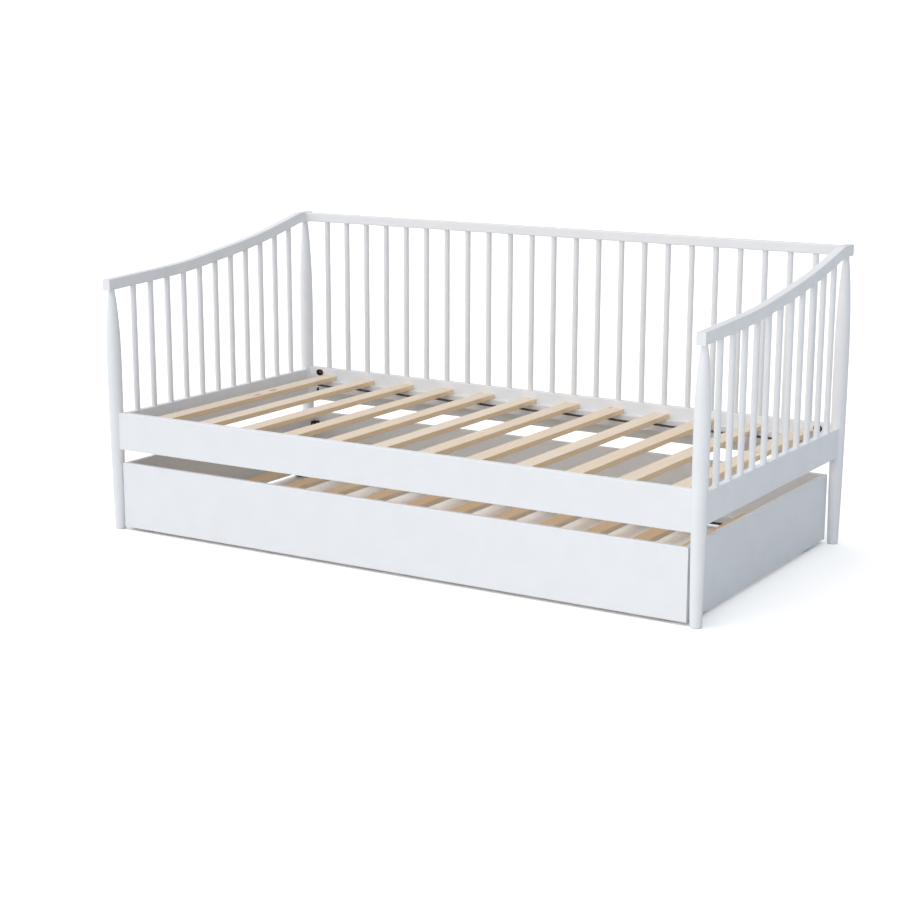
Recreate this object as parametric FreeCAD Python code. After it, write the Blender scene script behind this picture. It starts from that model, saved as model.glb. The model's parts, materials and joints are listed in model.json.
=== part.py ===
# Daybed of turned posts and spindles with a rolling trundle box beneath it.
# Frame: X along the bed, Y from the open front (-) to the back (+), Z up, in millimetres.
# The origin is on the floor, in the middle of the outline.
import FreeCAD
import Part
import os

from FreeCAD import Vector

# ---------------------------------------------------------------- driving sizes
# Overall
POST_SPACING_X = 1995.0        # post axis to post axis, along the bed
POST_SPACING_Y = 1020.0        # post axis to post axis, front to back
ARM_FRONT_TOP = 794.0          # height of an arm's top at its front end
ARM_BACK_TOP = 924.0           # height of an arm's top at its back end
ARM_OVERHANG = 24.0            # arm end past the post axis, at the front and at the back
RAIL_TOP = 376.0               # top of the front and back rails
RAIL_HEIGHT = 117.0            # depth of the front and back rails
END_RAIL_DROP = 9.5            # end rail top below the front and back rails' top
END_RAIL_HEIGHT = 90.0
RAIL_THICKNESS = 22.0
DECK_DROP = 25.0               # slat tops below the top of the front and back rails
EASED_EDGE = 2.0               # rounding of painted board edges

# Turned posts
FOOT_DIAMETER = 33.0
FOOT_CHAMFER = 1.5
POST_DIAMETER_AT_TRUNDLE = 41.4   # at the height of the trundle's top edge
POST_DIAMETER_AT_RAILS = 43.4
HOUSING_DEPTH = 3.5            # depth of the flat seat that a rail's end has in a post
# Upper part of a post: how far from the rails to the arm, and the diameter there
POST_UPPER_FORM = ((0.30, 45.4), (0.64, 42.0), (0.79, 35.4), (0.91, 27.2), (1.0, 17.5))
POST_TENON_DIAMETER = 14.0
POST_TENON_LENGTH = 9.0

# Arms and back top rail
ARM_WIDTH = 28.0
ARM_THICKNESS = 35.0
ARM_EASED_EDGE = 3.0
# Rise of an arm's top: how far along the arm, and the share of the whole rise there
ARM_RISE_FORM = ((0.0, 0.0), (0.21, 0.085), (0.35, 0.165), (0.49, 0.31), (0.70, 0.57),
                 (0.85, 0.83), (0.92, 0.965), (0.95, 1.0))
TOP_RAIL_DEPTH = 28.0
TOP_RAIL_HEIGHT = 30.0
TOP_RAIL_STEP = 2.0            # top rail below the arms' tops
TOP_RAIL_TENON_DIAMETER = 10.0
TOP_RAIL_TENON_LENGTH = 12.0
TOP_RAIL_TENON_RISE = 17.0     # tenon axis above the top rail's underside

# Spindles
BACK_SPINDLE_COUNT = 23
BACK_SPINDLE_INSET = 95.5      # first spindle's axis from the post's axis
ARM_SPINDLE_COUNT = 11
ARM_SPINDLE_INSET = 100.0
SPINDLE_DIAMETER = 18.5
SPINDLE_TENON_DIAMETER = 12.0
SPINDLE_TENON_LENGTH = 14.0

# Bolted corners: hanger bolts in the posts, half-moon nuts in pockets in the rails
BOLT_DIAMETER = 8.0
BOLT_PAST_AXIS = 9.0           # bolt's end past the post's axis
BOLT_HOLE_CLEARANCE = 0.5      # radial, where a bolt runs through a rail
BOLT_BELOW_RAIL_TOP = 18.0
BOLT_ABOVE_RAIL_BOTTOM = 35.0
POCKET_LENGTH = 30.0
POCKET_WIDTH = 22.0
POCKET_DEPTH = 16.0
POCKET_FROM_RAIL_END = 28.5
NUT_THICKNESS = 8.0
NUT_HEIGHT = 14.0
BOLT_END_PAST_NUT = 3.0
END_RAIL_TENON_THICKNESS = 12.0
END_RAIL_TENON_WIDTH = 70.0
TENON_TIP_GAP = 2.2            # end rail's tenon to the hanger bolts inside a post

# Slat kits, one in the bed and one in the trundle
SLAT_COUNT = 12
SLAT_WIDTH = 55.0
SLAT_THICKNESS = 16.0
SLAT_EASED_EDGE = 1.5
SLAT_INSET = 104.8             # first slat's middle from the post's axis, in the bed
BED_SLAT_END_GAP = 1.0
TRUNDLE_SLAT_END_GAP = 3.0
STRAP_WIDTH = 25.0
STRAP_THICKNESS = 1.5
STRAP_INSET = 98.0             # slat's end to the middle of a strap
LEDGE_DEPTH = 25.0
BED_LEDGE_HEIGHT = 40.0
TRUNDLE_LEDGE_HEIGHT = 25.0
LEDGE_OVERRUN = 2.0            # ledge end past the first and last slats
LEDGE_SCREW_COUNT = 6
LEDGE_SCREW_INSET = 72.0       # first screw from the ledge's end

# Trundle box
FINGER_GAP = 42.0              # front rail's underside to the trundle's top edge
TRUNDLE_SIDE_GAP = 4.8         # trundle end to a post, each end
TRUNDLE_SETBACK = 4.0          # trundle's face behind the front rail's face
TRUNDLE_BACK_SETBACK = 14.0    # trundle's back before the back rail's outer face
PANEL_THICKNESS = 15.0
PANEL_FLOOR_GAP = 9.5
TRUNDLE_DECK_TOP = 61.0
WHEEL_SPACE = 36.8             # end panel's inner face to the first slat's edge
DOWEL_DIAMETER = 8.0
DOWEL_LENGTH = 30.0
DOWEL_IN_LONG_PANEL = 10.0
DOWEL_HEIGHTS = (50.0, 120.0)  # above the floor
CORNER_LEG = 22.0
CORNER_WALL = 3.0
CORNER_HEIGHT = 40.0
CORNER_DROP = 33.0             # corner bracket's top below the trundle's top edge
CORNER_GUSSETS = 3
CORNER_SCREW_FROM_CORNER = 14.0

# Casters
WHEEL_DIAMETER = 50.0
WHEEL_WIDTH = 18.0
WHEEL_RIM = 6.0
WHEEL_HUB_DIAMETER = 20.0
WHEEL_RECESS = 4.0
WHEEL_EASED_EDGE = 2.5
WHEEL_INSET_Y = 112.0          # wheel's axle from the end panel's end
WHEEL_SIDE_GAP = 0.5
WHEEL_BORE_CLEARANCE = 0.05    # radial
AXLE_DIAMETER = 8.0
AXLE_HEAD_DIAMETER = 15.0
AXLE_HEAD_THICKNESS = 3.0
CASTER_PLATE_THICKNESS = 2.5
CASTER_PLATE_WIDTH = 56.0
CASTER_PLATE_BOTTOM = 12.0
CASTER_PLATE_BELOW_DECK = 3.0
CASTER_PLATE_CORNER = 6.0
CASTER_SCREW_FROM_TOP = 6.0
CASTER_SCREW_SPREAD = 40.0

# Wood screws and glued joints
SCREW_DIAMETER = 4.0
SCREW_HEAD_DIAMETER = 7.6
SCREW_HEAD_HEIGHT = 2.2
BED_LEDGE_SCREW_LENGTH = 40.0
TRUNDLE_LEDGE_SCREW_LENGTH = 35.0
BRACKET_SCREW_LENGTH = 13.0
GLUE_GAP = 0.1                 # radial, round tenons, dowels and screws in wood
BLIND_END_GAP = 1.0            # space beyond a tenon's or bolt's tip in its hole
TENON_ROOT = 4.0               # overlap of a tenon with its own piece

# ---------------------------------------------------------------- derived places
POST_X = POST_SPACING_X / 2
POST_Y = POST_SPACING_Y / 2
RAIL_BOTTOM = RAIL_TOP - RAIL_HEIGHT
RAIL_INNER_Y = POST_Y - RAIL_THICKNESS / 2
RAIL_OUTER_Y = POST_Y + RAIL_THICKNESS / 2
POST_SEAT = POST_DIAMETER_AT_RAILS / 2 - HOUSING_DEPTH
RAIL_END_X = POST_X - POST_SEAT
END_RAIL_TOP = RAIL_TOP - END_RAIL_DROP
END_RAIL_BOTTOM = END_RAIL_TOP - END_RAIL_HEIGHT
END_RAIL_END_Y = POST_Y - POST_SEAT
BOLT_HEIGHTS = (RAIL_TOP - BOLT_BELOW_RAIL_TOP, RAIL_BOTTOM + BOLT_ABOVE_RAIL_BOTTOM)
TOP_RAIL_UNDERSIDE = ARM_BACK_TOP - TOP_RAIL_STEP - TOP_RAIL_HEIGHT
DECK_TOP = RAIL_TOP - DECK_DROP
TRUNDLE_TOP = RAIL_BOTTOM - FINGER_GAP
TRUNDLE_END_X = POST_X - POST_DIAMETER_AT_TRUNDLE / 2 - TRUNDLE_SIDE_GAP
TRUNDLE_INNER_X = TRUNDLE_END_X - PANEL_THICKNESS
TRUNDLE_FRONT_Y = -(RAIL_OUTER_Y - TRUNDLE_SETBACK)
TRUNDLE_BACK_Y = RAIL_OUTER_Y - TRUNDLE_BACK_SETBACK
TRUNDLE_INNER_FRONT_Y = TRUNDLE_FRONT_Y + PANEL_THICKNESS
TRUNDLE_INNER_BACK_Y = TRUNDLE_BACK_Y - PANEL_THICKNESS
BED_SLAT_REACH = POST_X - SLAT_INSET
TRUNDLE_SLAT_REACH = TRUNDLE_INNER_X - WHEEL_SPACE - SLAT_WIDTH / 2
WHEEL_PLACES_Y = (TRUNDLE_INNER_FRONT_Y + WHEEL_INSET_Y, TRUNDLE_INNER_BACK_Y - WHEEL_INSET_Y)
AXLE_HEIGHT = WHEEL_DIAMETER / 2

SIDES = {"left": -1, "right": 1}
FACES = {"front": -1, "back": 1}
X_AXIS = Vector(1, 0, 0)
Y_AXIS = Vector(0, 1, 0)
Z_AXIS = Vector(0, 0, 1)


# ---------------------------------------------------------------- shared shapes
def block(x_span, y_span, z_span):
    """Plain box between two places on each axis, given in either order."""
    lows = [min(span) for span in (x_span, y_span, z_span)]
    sizes = [abs(span[1] - span[0]) for span in (x_span, y_span, z_span)]
    return Part.makeBox(*sizes, Vector(*lows))


def edges_along(shape, direction):
    """Straight edges of a shape that run along one axis."""
    chosen = []
    for edge in shape.Edges:
        if isinstance(edge.Curve, Part.Line):
            run = edge.Vertexes[-1].Point - edge.Vertexes[0].Point
            if abs(run.normalize().dot(direction)) > 0.999:
                chosen.append(edge)
    return chosen


def eased_board(x_span, y_span, z_span, along, radius):
    """Board whose four edges along one axis are rounded."""
    board = block(x_span, y_span, z_span)
    return board.makeFillet(radius, edges_along(board, along))


def turned(stations, x, y):
    """Turned piece on a vertical axis; stations are (height, diameter) from the bottom up."""
    rim = [Vector(x + diameter / 2, y, height) for height, diameter in stations]
    outline = Part.BSplineCurve()
    outline.interpolate(rim)
    bottom = Vector(x, y, stations[0][0])
    top = Vector(x, y, stations[-1][0])
    edges = [Part.makeLine(bottom, rim[0]), outline.toShape(), Part.makeLine(rim[-1], top),
             Part.makeLine(top, bottom)]
    return Part.Face(Part.Wire(edges)).revolve(bottom, Z_AXIS, 360)


def rod(diameter, start, end):
    """Round rod between two points."""
    run = end - start
    return Part.makeCylinder(diameter / 2, run.Length, start, run)


def underside(shape, x, y):
    """Height at which a vertical line first meets a shape from below."""
    box = shape.BoundBox
    line = Part.makeLine(Vector(x, y, box.ZMin - 1), Vector(x, y, box.ZMax + 1))
    return shape.common(line).BoundBox.ZMin


def evenly(count, reach):
    """Places spread evenly from -reach to +reach."""
    return [-reach + 2 * reach * index / (count - 1) for index in range(count)]


def wood_screw(head, direction, length):
    """Countersunk wood screw: the head's flat is at the given point, the tip lies along direction."""
    tip = Vector(direction).normalize()
    cone = Part.makeCone(SCREW_HEAD_DIAMETER / 2, SCREW_DIAMETER / 2, SCREW_HEAD_HEIGHT, head, tip)
    shank = rod(SCREW_DIAMETER, head + tip * SCREW_HEAD_HEIGHT, head + tip * length)
    return cone.fuse(shank).removeSplitter()


def screw_hole(head, direction, length):
    """Hole for a wood screw, tight under the head and a little wider along the shank."""
    tip = Vector(direction).normalize()
    cone = Part.makeCone(SCREW_HEAD_DIAMETER / 2, SCREW_DIAMETER / 2, SCREW_HEAD_HEIGHT, head, tip)
    shank = rod(SCREW_DIAMETER + 2 * GLUE_GAP, head, head + tip * (length + GLUE_GAP))
    return cone.fuse(shank)


# ---------------------------------------------------------------- arms and top rail
def arm_blank(side):
    """Arm before it is drilled: a wavy bar that rises from the front post to the back post."""
    reach = POST_Y + ARM_OVERHANG
    inner_x = side * POST_X - ARM_WIDTH / 2
    rise = ARM_BACK_TOP - ARM_FRONT_TOP
    crest = [Vector(inner_x, reach * (2 * along - 1), ARM_FRONT_TOP + rise * share)
             for along, share in ARM_RISE_FORM]
    wave = Part.BSplineCurve()
    first_run = crest[1] - crest[0]
    wave.interpolate(Points=crest, InitialTangent=first_run, FinalTangent=Y_AXIS * first_run.Length)
    drop = Vector(0, 0, -ARM_THICKNESS)
    back_top = Vector(inner_x, reach, ARM_BACK_TOP)
    lower_wave = wave.copy()
    lower_wave.translate(drop)
    outline = Part.Wire([wave.toShape(), Part.makeLine(crest[-1], back_top),
                         Part.makeLine(back_top, back_top + drop),
                         Part.makeLine(back_top + drop, crest[-1] + drop), lower_wave.toShape(),
                         Part.makeLine(crest[0] + drop, crest[0])])
    bar = Part.Face(outline).extrude(X_AXIS * ARM_WIDTH)
    long_edges = [edge for edge in bar.Edges
                  if edge.BoundBox.XLength < 0.001 and edge.BoundBox.YLength > 1.0]
    return bar.makeFillet(ARM_EASED_EDGE, long_edges)


def top_rail_tenon(side, gap=0.0):
    """Round tenon at one end of the back top rail, or the hole for it when a gap is given."""
    height = TOP_RAIL_UNDERSIDE + TOP_RAIL_TENON_RISE
    face = side * (POST_X - ARM_WIDTH / 2)
    tip = face + side * (TOP_RAIL_TENON_LENGTH + (BLIND_END_GAP if gap else 0.0))
    return rod(TOP_RAIL_TENON_DIAMETER + 2 * gap, Vector(face, POST_Y, height),
               Vector(tip, POST_Y, height))


ARM_BLANKS = {name: arm_blank(side) for name, side in SIDES.items()}


def upper_tenon(shape, x, y, diameter, length, gap=0.0):
    """Tenon that stands up into a rail above, or the hole for it when a gap is given."""
    seat = underside(shape, x, y)
    tip = seat + length + (BLIND_END_GAP if gap else 0.0)
    return rod(diameter + 2 * gap, Vector(x, y, seat - TENON_ROOT), Vector(x, y, tip))


def arm_spindle_places(side):
    """Axes of the spindles under one arm."""
    return [(side * POST_X, y) for y in evenly(ARM_SPINDLE_COUNT, POST_Y - ARM_SPINDLE_INSET)]


def back_spindle_places():
    """Axes of the spindles in the back."""
    return [(x, POST_Y) for x in evenly(BACK_SPINDLE_COUNT, POST_X - BACK_SPINDLE_INSET)]


def arm_rail(name):
    """Arm with holes for its spindles, its two posts and the back top rail."""
    side = SIDES[name]
    blank = ARM_BLANKS[name]
    holes = [upper_tenon(blank, x, y, SPINDLE_TENON_DIAMETER, SPINDLE_TENON_LENGTH, GLUE_GAP)
             for x, y in arm_spindle_places(side)]
    holes += [upper_tenon(blank, side * POST_X, face * POST_Y, POST_TENON_DIAMETER,
                          POST_TENON_LENGTH, GLUE_GAP) for face in FACES.values()]
    holes.append(top_rail_tenon(side, GLUE_GAP))
    return blank.cut(holes)


def top_rail_blank():
    """Back top rail before it is drilled, square-ended between the arms."""
    reach = POST_X - ARM_WIDTH / 2
    return eased_board((-reach, reach), (POST_Y - TOP_RAIL_DEPTH / 2, POST_Y + TOP_RAIL_DEPTH / 2),
                       (TOP_RAIL_UNDERSIDE, TOP_RAIL_UNDERSIDE + TOP_RAIL_HEIGHT), X_AXIS,
                       ARM_EASED_EDGE)


def back_top_rail():
    """Back top rail with a round tenon at each end and the spindles' holes beneath."""
    blank = top_rail_blank()
    tenons = [top_rail_tenon(side) for side in SIDES.values()]
    holes = [upper_tenon(blank, x, y, SPINDLE_TENON_DIAMETER, SPINDLE_TENON_LENGTH, GLUE_GAP)
             for x, y in back_spindle_places()]
    return blank.fuse(tenons).cut(holes)


# ---------------------------------------------------------------- lower rails
def pocket(side, face, height):
    """Round-ended pocket for a half-moon nut, in the inner face of a rail."""
    radius = POCKET_WIDTH / 2
    far = side * (RAIL_END_X - POCKET_FROM_RAIL_END - radius)
    near = side * (RAIL_END_X - POCKET_FROM_RAIL_END - POCKET_LENGTH + radius)
    mouth = face * RAIL_INNER_Y
    floor = face * (RAIL_INNER_Y + POCKET_DEPTH)
    ends = [rod(POCKET_WIDTH, Vector(x, mouth, height), Vector(x, floor, height))
            for x in (far, near)]
    middle = block((near, far), (mouth, floor), (height - radius, height + radius))
    return middle.fuse(ends).removeSplitter()


def hanger_bolt(side, face, height, gap=0.0):
    """Bolt from inside a post, through the rail's end, into the nut pocket."""
    pocket_end = RAIL_END_X - POCKET_FROM_RAIL_END
    start = side * (POST_X + BOLT_PAST_AXIS + (BLIND_END_GAP if gap else 0.0))
    end = side * (pocket_end - NUT_THICKNESS - BOLT_END_PAST_NUT)
    return rod(BOLT_DIAMETER + 2 * gap, Vector(start, face * POST_Y, height),
               Vector(end, face * POST_Y, height))


def half_moon_nut(side, face, height):
    """Crescent nut whose round back fits the pocket's end."""
    radius = POCKET_WIDTH / 2
    pocket_end = RAIL_END_X - POCKET_FROM_RAIL_END
    centre = Vector(side * (pocket_end - radius), face * (RAIL_INNER_Y + POCKET_DEPTH), height)
    disc = rod(POCKET_WIDTH, centre, centre - Y_AXIS * face * NUT_HEIGHT)
    crescent = disc.common(block((side * (pocket_end - NUT_THICKNESS), side * pocket_end),
                                 (face * RAIL_INNER_Y, face * RAIL_OUTER_Y),
                                 (height - radius, height + radius)))
    return crescent.cut(hanger_bolt(side, face, height))


def corners():
    """Every bolt place: side sign, face sign and height."""
    return [(side, face, height) for side in SIDES.values() for face in FACES.values()
            for height in BOLT_HEIGHTS]


def long_rail(name):
    """Front or back rail, pocketed and drilled for its bolts, screws and spindles."""
    face = FACES[name]
    rail = eased_board((-RAIL_END_X, RAIL_END_X), (face * RAIL_INNER_Y, face * RAIL_OUTER_Y),
                       (RAIL_BOTTOM, RAIL_TOP), X_AXIS, EASED_EDGE)
    cuts = [pocket(*place) for place in corners() if place[1] == face]
    cuts += [hanger_bolt(*place, BOLT_HOLE_CLEARANCE) for place in corners() if place[1] == face]
    cuts += [screw_hole(head, Y_AXIS * face, BED_LEDGE_SCREW_LENGTH)
             for head in ledge_screw_heads(BED_KIT, face)]
    if name == "back":
        cuts += [spindle_socket(x, y, RAIL_TOP) for x, y in back_spindle_places()]
    return rail.cut(cuts)


def spindle_socket(x, y, top):
    """Hole in a lower rail's top edge for a spindle's tenon."""
    return rod(SPINDLE_TENON_DIAMETER + 2 * GLUE_GAP, Vector(x, y, top),
               Vector(x, y, top - SPINDLE_TENON_LENGTH))


def end_rail_tenons(side, gap=0.0):
    """Tenons of an end rail, or their mortises in the posts when a gap is given."""
    middle = (END_RAIL_TOP + END_RAIL_BOTTOM) / 2
    half_width = END_RAIL_TENON_WIDTH / 2 + gap
    half_thickness = END_RAIL_TENON_THICKNESS / 2 + gap
    tip = END_RAIL_END_Y + POST_SEAT - BOLT_DIAMETER / 2 - TENON_TIP_GAP + gap
    return [block((side * POST_X - half_thickness, side * POST_X + half_thickness),
                  (face * END_RAIL_END_Y, face * tip), (middle - half_width, middle + half_width))
            for face in FACES.values()]


def end_rail_blank(side):
    """End rail between its posts, before its tenons are added."""
    return eased_board((side * POST_X - RAIL_THICKNESS / 2, side * POST_X + RAIL_THICKNESS / 2),
                       (-END_RAIL_END_Y, END_RAIL_END_Y), (END_RAIL_BOTTOM, END_RAIL_TOP), Y_AXIS,
                       EASED_EDGE)


def end_rail(name):
    """End rail with a tenon at each end and the spindles' sockets in its top edge."""
    side = SIDES[name]
    sockets = [spindle_socket(x, y, END_RAIL_TOP) for x, y in arm_spindle_places(side)]
    return end_rail_blank(side).fuse(end_rail_tenons(side)).cut(sockets)


# ---------------------------------------------------------------- posts and spindles
def post(side_name, face_name):
    """Turned post with flats for the rails, mortise, bolt holes and a tenon into the arm."""
    side, face = SIDES[side_name], FACES[face_name]
    x, y = side * POST_X, face * POST_Y
    arm = ARM_BLANKS[side_name]
    seat = underside(arm, x, y)
    free = seat - RAIL_TOP
    stations = [(0.0, FOOT_DIAMETER), (TRUNDLE_TOP, POST_DIAMETER_AT_TRUNDLE),
                ((RAIL_TOP + RAIL_BOTTOM) / 2, POST_DIAMETER_AT_RAILS)]
    stations += [(RAIL_TOP + free * share, diameter) for share, diameter in POST_UPPER_FORM]
    body = turned(stations, x, y)
    foot_edges = [edge for edge in body.Edges if edge.BoundBox.ZMax < 0.001]
    body = body.makeChamfer(FOOT_CHAMFER, foot_edges)
    neck_diameter = POST_UPPER_FORM[-1][1]
    neck = rod(neck_diameter, Vector(x, y, seat), Vector(x, y, seat + neck_diameter / 2))
    body = body.fuse(neck).cut(arm)
    body = body.fuse(upper_tenon(arm, x, y, POST_TENON_DIAMETER, POST_TENON_LENGTH))
    rails = [block((0, side * RAIL_END_X), (face * RAIL_INNER_Y, face * RAIL_OUTER_Y),
                   (RAIL_BOTTOM, RAIL_TOP)),
             block((x - RAIL_THICKNESS / 2, x + RAIL_THICKNESS / 2), (0, face * END_RAIL_END_Y),
                   (END_RAIL_BOTTOM, END_RAIL_TOP))]
    bolts = [hanger_bolt(*place, GLUE_GAP) for place in corners() if place[:2] == (side, face)]
    return body.cut(rails).cut(bolts + end_rail_tenons(side, GLUE_GAP))


def spindle(x, y, foot, rail_above):
    """Round spindle that stands in a lower rail and is cut to the underside of the rail above."""
    top = underside(rail_above, x, y) + SPINDLE_DIAMETER / 2
    body = rod(SPINDLE_DIAMETER, Vector(x, y, foot), Vector(x, y, top)).cut(rail_above)
    lower = rod(SPINDLE_TENON_DIAMETER, Vector(x, y, foot - SPINDLE_TENON_LENGTH),
                Vector(x, y, foot + TENON_ROOT))
    upper = upper_tenon(rail_above, x, y, SPINDLE_TENON_DIAMETER, SPINDLE_TENON_LENGTH)
    return body.fuse([lower, upper])


def arm_spindles(name):
    """The row of spindles between an end rail and its arm."""
    return Part.makeCompound([spindle(x, y, END_RAIL_TOP, ARM_BLANKS[name])
                              for x, y in arm_spindle_places(SIDES[name])])


def back_spindles():
    """The row of spindles between the back rail and the back top rail."""
    top_rail = top_rail_blank()
    return Part.makeCompound([spindle(x, y, RAIL_TOP, top_rail) for x, y in back_spindle_places()])


# ---------------------------------------------------------------- slat kits
class SlatKit:
    """A deck of slats on two ledges, held at their pitch by two straps."""

    def __init__(self, reach, deck_top, inner_front, inner_back, end_gap, ledge_height):
        self.reach = reach
        self.top = deck_top
        self.under = deck_top - SLAT_THICKNESS
        self.inner = {-1: inner_front, 1: inner_back}
        self.end_gap = end_gap
        self.ledge_height = ledge_height
        self.outer_edge = reach + SLAT_WIDTH / 2

    def slat(self, middle):
        """One slat, laid across the bed."""
        return eased_board((middle - SLAT_WIDTH / 2, middle + SLAT_WIDTH / 2),
                           (self.inner[-1] + self.end_gap, self.inner[1] - self.end_gap),
                           (self.under, self.top), Y_AXIS, SLAT_EASED_EDGE)

    def slats(self, prefix):
        """Every slat by name."""
        return {f"{prefix}_slat_{index:02d}": self.slat(middle)
                for index, middle in enumerate(evenly(SLAT_COUNT, self.reach), start=1)}

    def straps(self):
        """Two webbing straps stapled under the slats."""
        middles = [self.inner[face] - face * (self.end_gap + STRAP_INSET)
                   for face in FACES.values()]
        return Part.makeCompound([
            block((-self.outer_edge, self.outer_edge),
                  (middle - STRAP_WIDTH / 2, middle + STRAP_WIDTH / 2),
                  (self.under - STRAP_THICKNESS, self.under)) for middle in middles])

    def ledge(self, face):
        """Batten that carries the slats' ends, drilled for its screws."""
        wall = self.inner[face]
        end = self.outer_edge + LEDGE_OVERRUN
        batten = block((-end, end), (wall, wall - face * LEDGE_DEPTH),
                       (self.under - self.ledge_height, self.under))
        holes = [screw_hole(head, Y_AXIS * face, 2 * LEDGE_DEPTH)
                 for head in ledge_screw_heads(self, face)]
        return batten.cut(holes)


def ledge_screw_heads(kit, face):
    """Places of the ledge screws' heads, in the ledge's inner face."""
    reach = kit.outer_edge + LEDGE_OVERRUN - LEDGE_SCREW_INSET
    y = kit.inner[face] - face * LEDGE_DEPTH
    return [Vector(x, y, kit.under - kit.ledge_height / 2) for x in evenly(LEDGE_SCREW_COUNT, reach)]


def ledge_screws(kit, length):
    """All the screws of one kit's two ledges."""
    return [wood_screw(head, Y_AXIS * face, length) for face in FACES.values()
            for head in ledge_screw_heads(kit, face)]


BED_KIT = SlatKit(BED_SLAT_REACH, DECK_TOP, -RAIL_INNER_Y, RAIL_INNER_Y, BED_SLAT_END_GAP,
                  BED_LEDGE_HEIGHT)
TRUNDLE_KIT = SlatKit(TRUNDLE_SLAT_REACH, TRUNDLE_DECK_TOP, TRUNDLE_INNER_FRONT_Y,
                      TRUNDLE_INNER_BACK_Y, TRUNDLE_SLAT_END_GAP, TRUNDLE_LEDGE_HEIGHT)


# ---------------------------------------------------------------- trundle box
def dowels(gap=0.0):
    """Dowels that join the trundle's four panels, or the holes for them when a gap is given."""
    pegs = []
    for side in SIDES.values():
        x = side * (TRUNDLE_END_X - PANEL_THICKNESS / 2)
        for face, seam in ((-1, TRUNDLE_INNER_FRONT_Y), (1, TRUNDLE_INNER_BACK_Y)):
            outer = seam + face * (DOWEL_IN_LONG_PANEL + gap)
            inner = seam - face * (DOWEL_LENGTH - DOWEL_IN_LONG_PANEL + gap)
            pegs += [rod(DOWEL_DIAMETER + 2 * gap, Vector(x, outer, z), Vector(x, inner, z))
                     for z in DOWEL_HEIGHTS]
    return pegs


def corner_screw_heads():
    """Corner bracket screws: head place and direction, two in each leg of each bracket."""
    top = TRUNDLE_TOP - CORNER_DROP
    spacing = (CORNER_HEIGHT - CORNER_WALL) / (CORNER_GUSSETS - 1)
    heights = [top - CORNER_WALL / 2 - spacing * (bay + 0.5) for bay in range(CORNER_GUSSETS - 1)]
    heads = []
    for side in SIDES.values():
        for face, seam in ((-1, TRUNDLE_INNER_FRONT_Y), (1, TRUNDLE_INNER_BACK_Y)):
            for z in heights:
                heads.append((Vector(side * (TRUNDLE_INNER_X - CORNER_WALL),
                                     seam - face * CORNER_SCREW_FROM_CORNER, z), X_AXIS * side))
                heads.append((Vector(side * (TRUNDLE_INNER_X - CORNER_SCREW_FROM_CORNER),
                                     seam - face * CORNER_WALL, z), Y_AXIS * face))
    return heads


def caster_screw_heads():
    """Caster plate screws: head place and direction."""
    z = TRUNDLE_DECK_TOP - CASTER_PLATE_BELOW_DECK - CASTER_SCREW_FROM_TOP
    return [(Vector(side * (TRUNDLE_INNER_X - CASTER_PLATE_THICKNESS),
                    y + offset * CASTER_SCREW_SPREAD / 2, z), X_AXIS * side)
            for side in SIDES.values() for y in WHEEL_PLACES_Y for offset in (-1, 1)]


def panel_cuts():
    """Every hole that is drilled in the trundle's panels."""
    holes = dowels(GLUE_GAP)
    holes += [screw_hole(head, tip, BRACKET_SCREW_LENGTH)
              for head, tip in corner_screw_heads() + caster_screw_heads()]
    for face in FACES.values():
        holes += [screw_hole(head, Y_AXIS * face, TRUNDLE_LEDGE_SCREW_LENGTH)
                  for head in ledge_screw_heads(TRUNDLE_KIT, face)]
    return holes


def long_panel(outer_y, inner_y):
    """Front or back panel of the trundle, over the end panels' ends."""
    panel = eased_board((-TRUNDLE_END_X, TRUNDLE_END_X), (outer_y, inner_y),
                        (PANEL_FLOOR_GAP, TRUNDLE_TOP), X_AXIS, EASED_EDGE)
    return panel.cut(panel_cuts())


def end_panel(side):
    """End panel of the trundle, between the front and back panels."""
    panel = eased_board((side * TRUNDLE_INNER_X, side * TRUNDLE_END_X),
                        (TRUNDLE_INNER_FRONT_Y, TRUNDLE_INNER_BACK_Y),
                        (PANEL_FLOOR_GAP, TRUNDLE_TOP), Y_AXIS, EASED_EDGE)
    return panel.cut(panel_cuts())


def corner_bracket(side, face):
    """Plastic corner bracket: two legs joined by three-cornered gussets."""
    seam = TRUNDLE_INNER_FRONT_Y if face < 0 else TRUNDLE_INNER_BACK_Y
    x, y = side * TRUNDLE_INNER_X, seam
    top = TRUNDLE_TOP - CORNER_DROP
    bottom = top - CORNER_HEIGHT
    bracket = block((x, x - side * CORNER_LEG), (y, y - face * CORNER_WALL), (bottom, top))
    bracket = bracket.fuse(block((x, x - side * CORNER_WALL), (y, y - face * CORNER_LEG),
                                 (bottom, top)))
    spacing = (CORNER_HEIGHT - CORNER_WALL) / (CORNER_GUSSETS - 1)
    for step in range(CORNER_GUSSETS):
        z = bottom + step * spacing
        triangle = Part.makePolygon([Vector(x, y, z), Vector(x - side * CORNER_LEG, y, z),
                                     Vector(x, y - face * CORNER_LEG, z), Vector(x, y, z)])
        bracket = bracket.fuse(Part.Face(triangle).extrude(Z_AXIS * CORNER_WALL))
    return bracket.removeSplitter()


def corner_brackets():
    """The four corner brackets with their screw holes."""
    holes = [screw_hole(head, tip, BRACKET_SCREW_LENGTH) for head, tip in corner_screw_heads()]
    return Part.makeCompound([corner_bracket(side, face).cut(holes)
                              for side in SIDES.values() for face in FACES.values()])


def trundle_screws():
    """Every wood screw in the trundle."""
    screws = ledge_screws(TRUNDLE_KIT, TRUNDLE_LEDGE_SCREW_LENGTH)
    screws += [wood_screw(head, tip, BRACKET_SCREW_LENGTH)
               for head, tip in corner_screw_heads() + caster_screw_heads()]
    return Part.makeCompound(screws)


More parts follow.
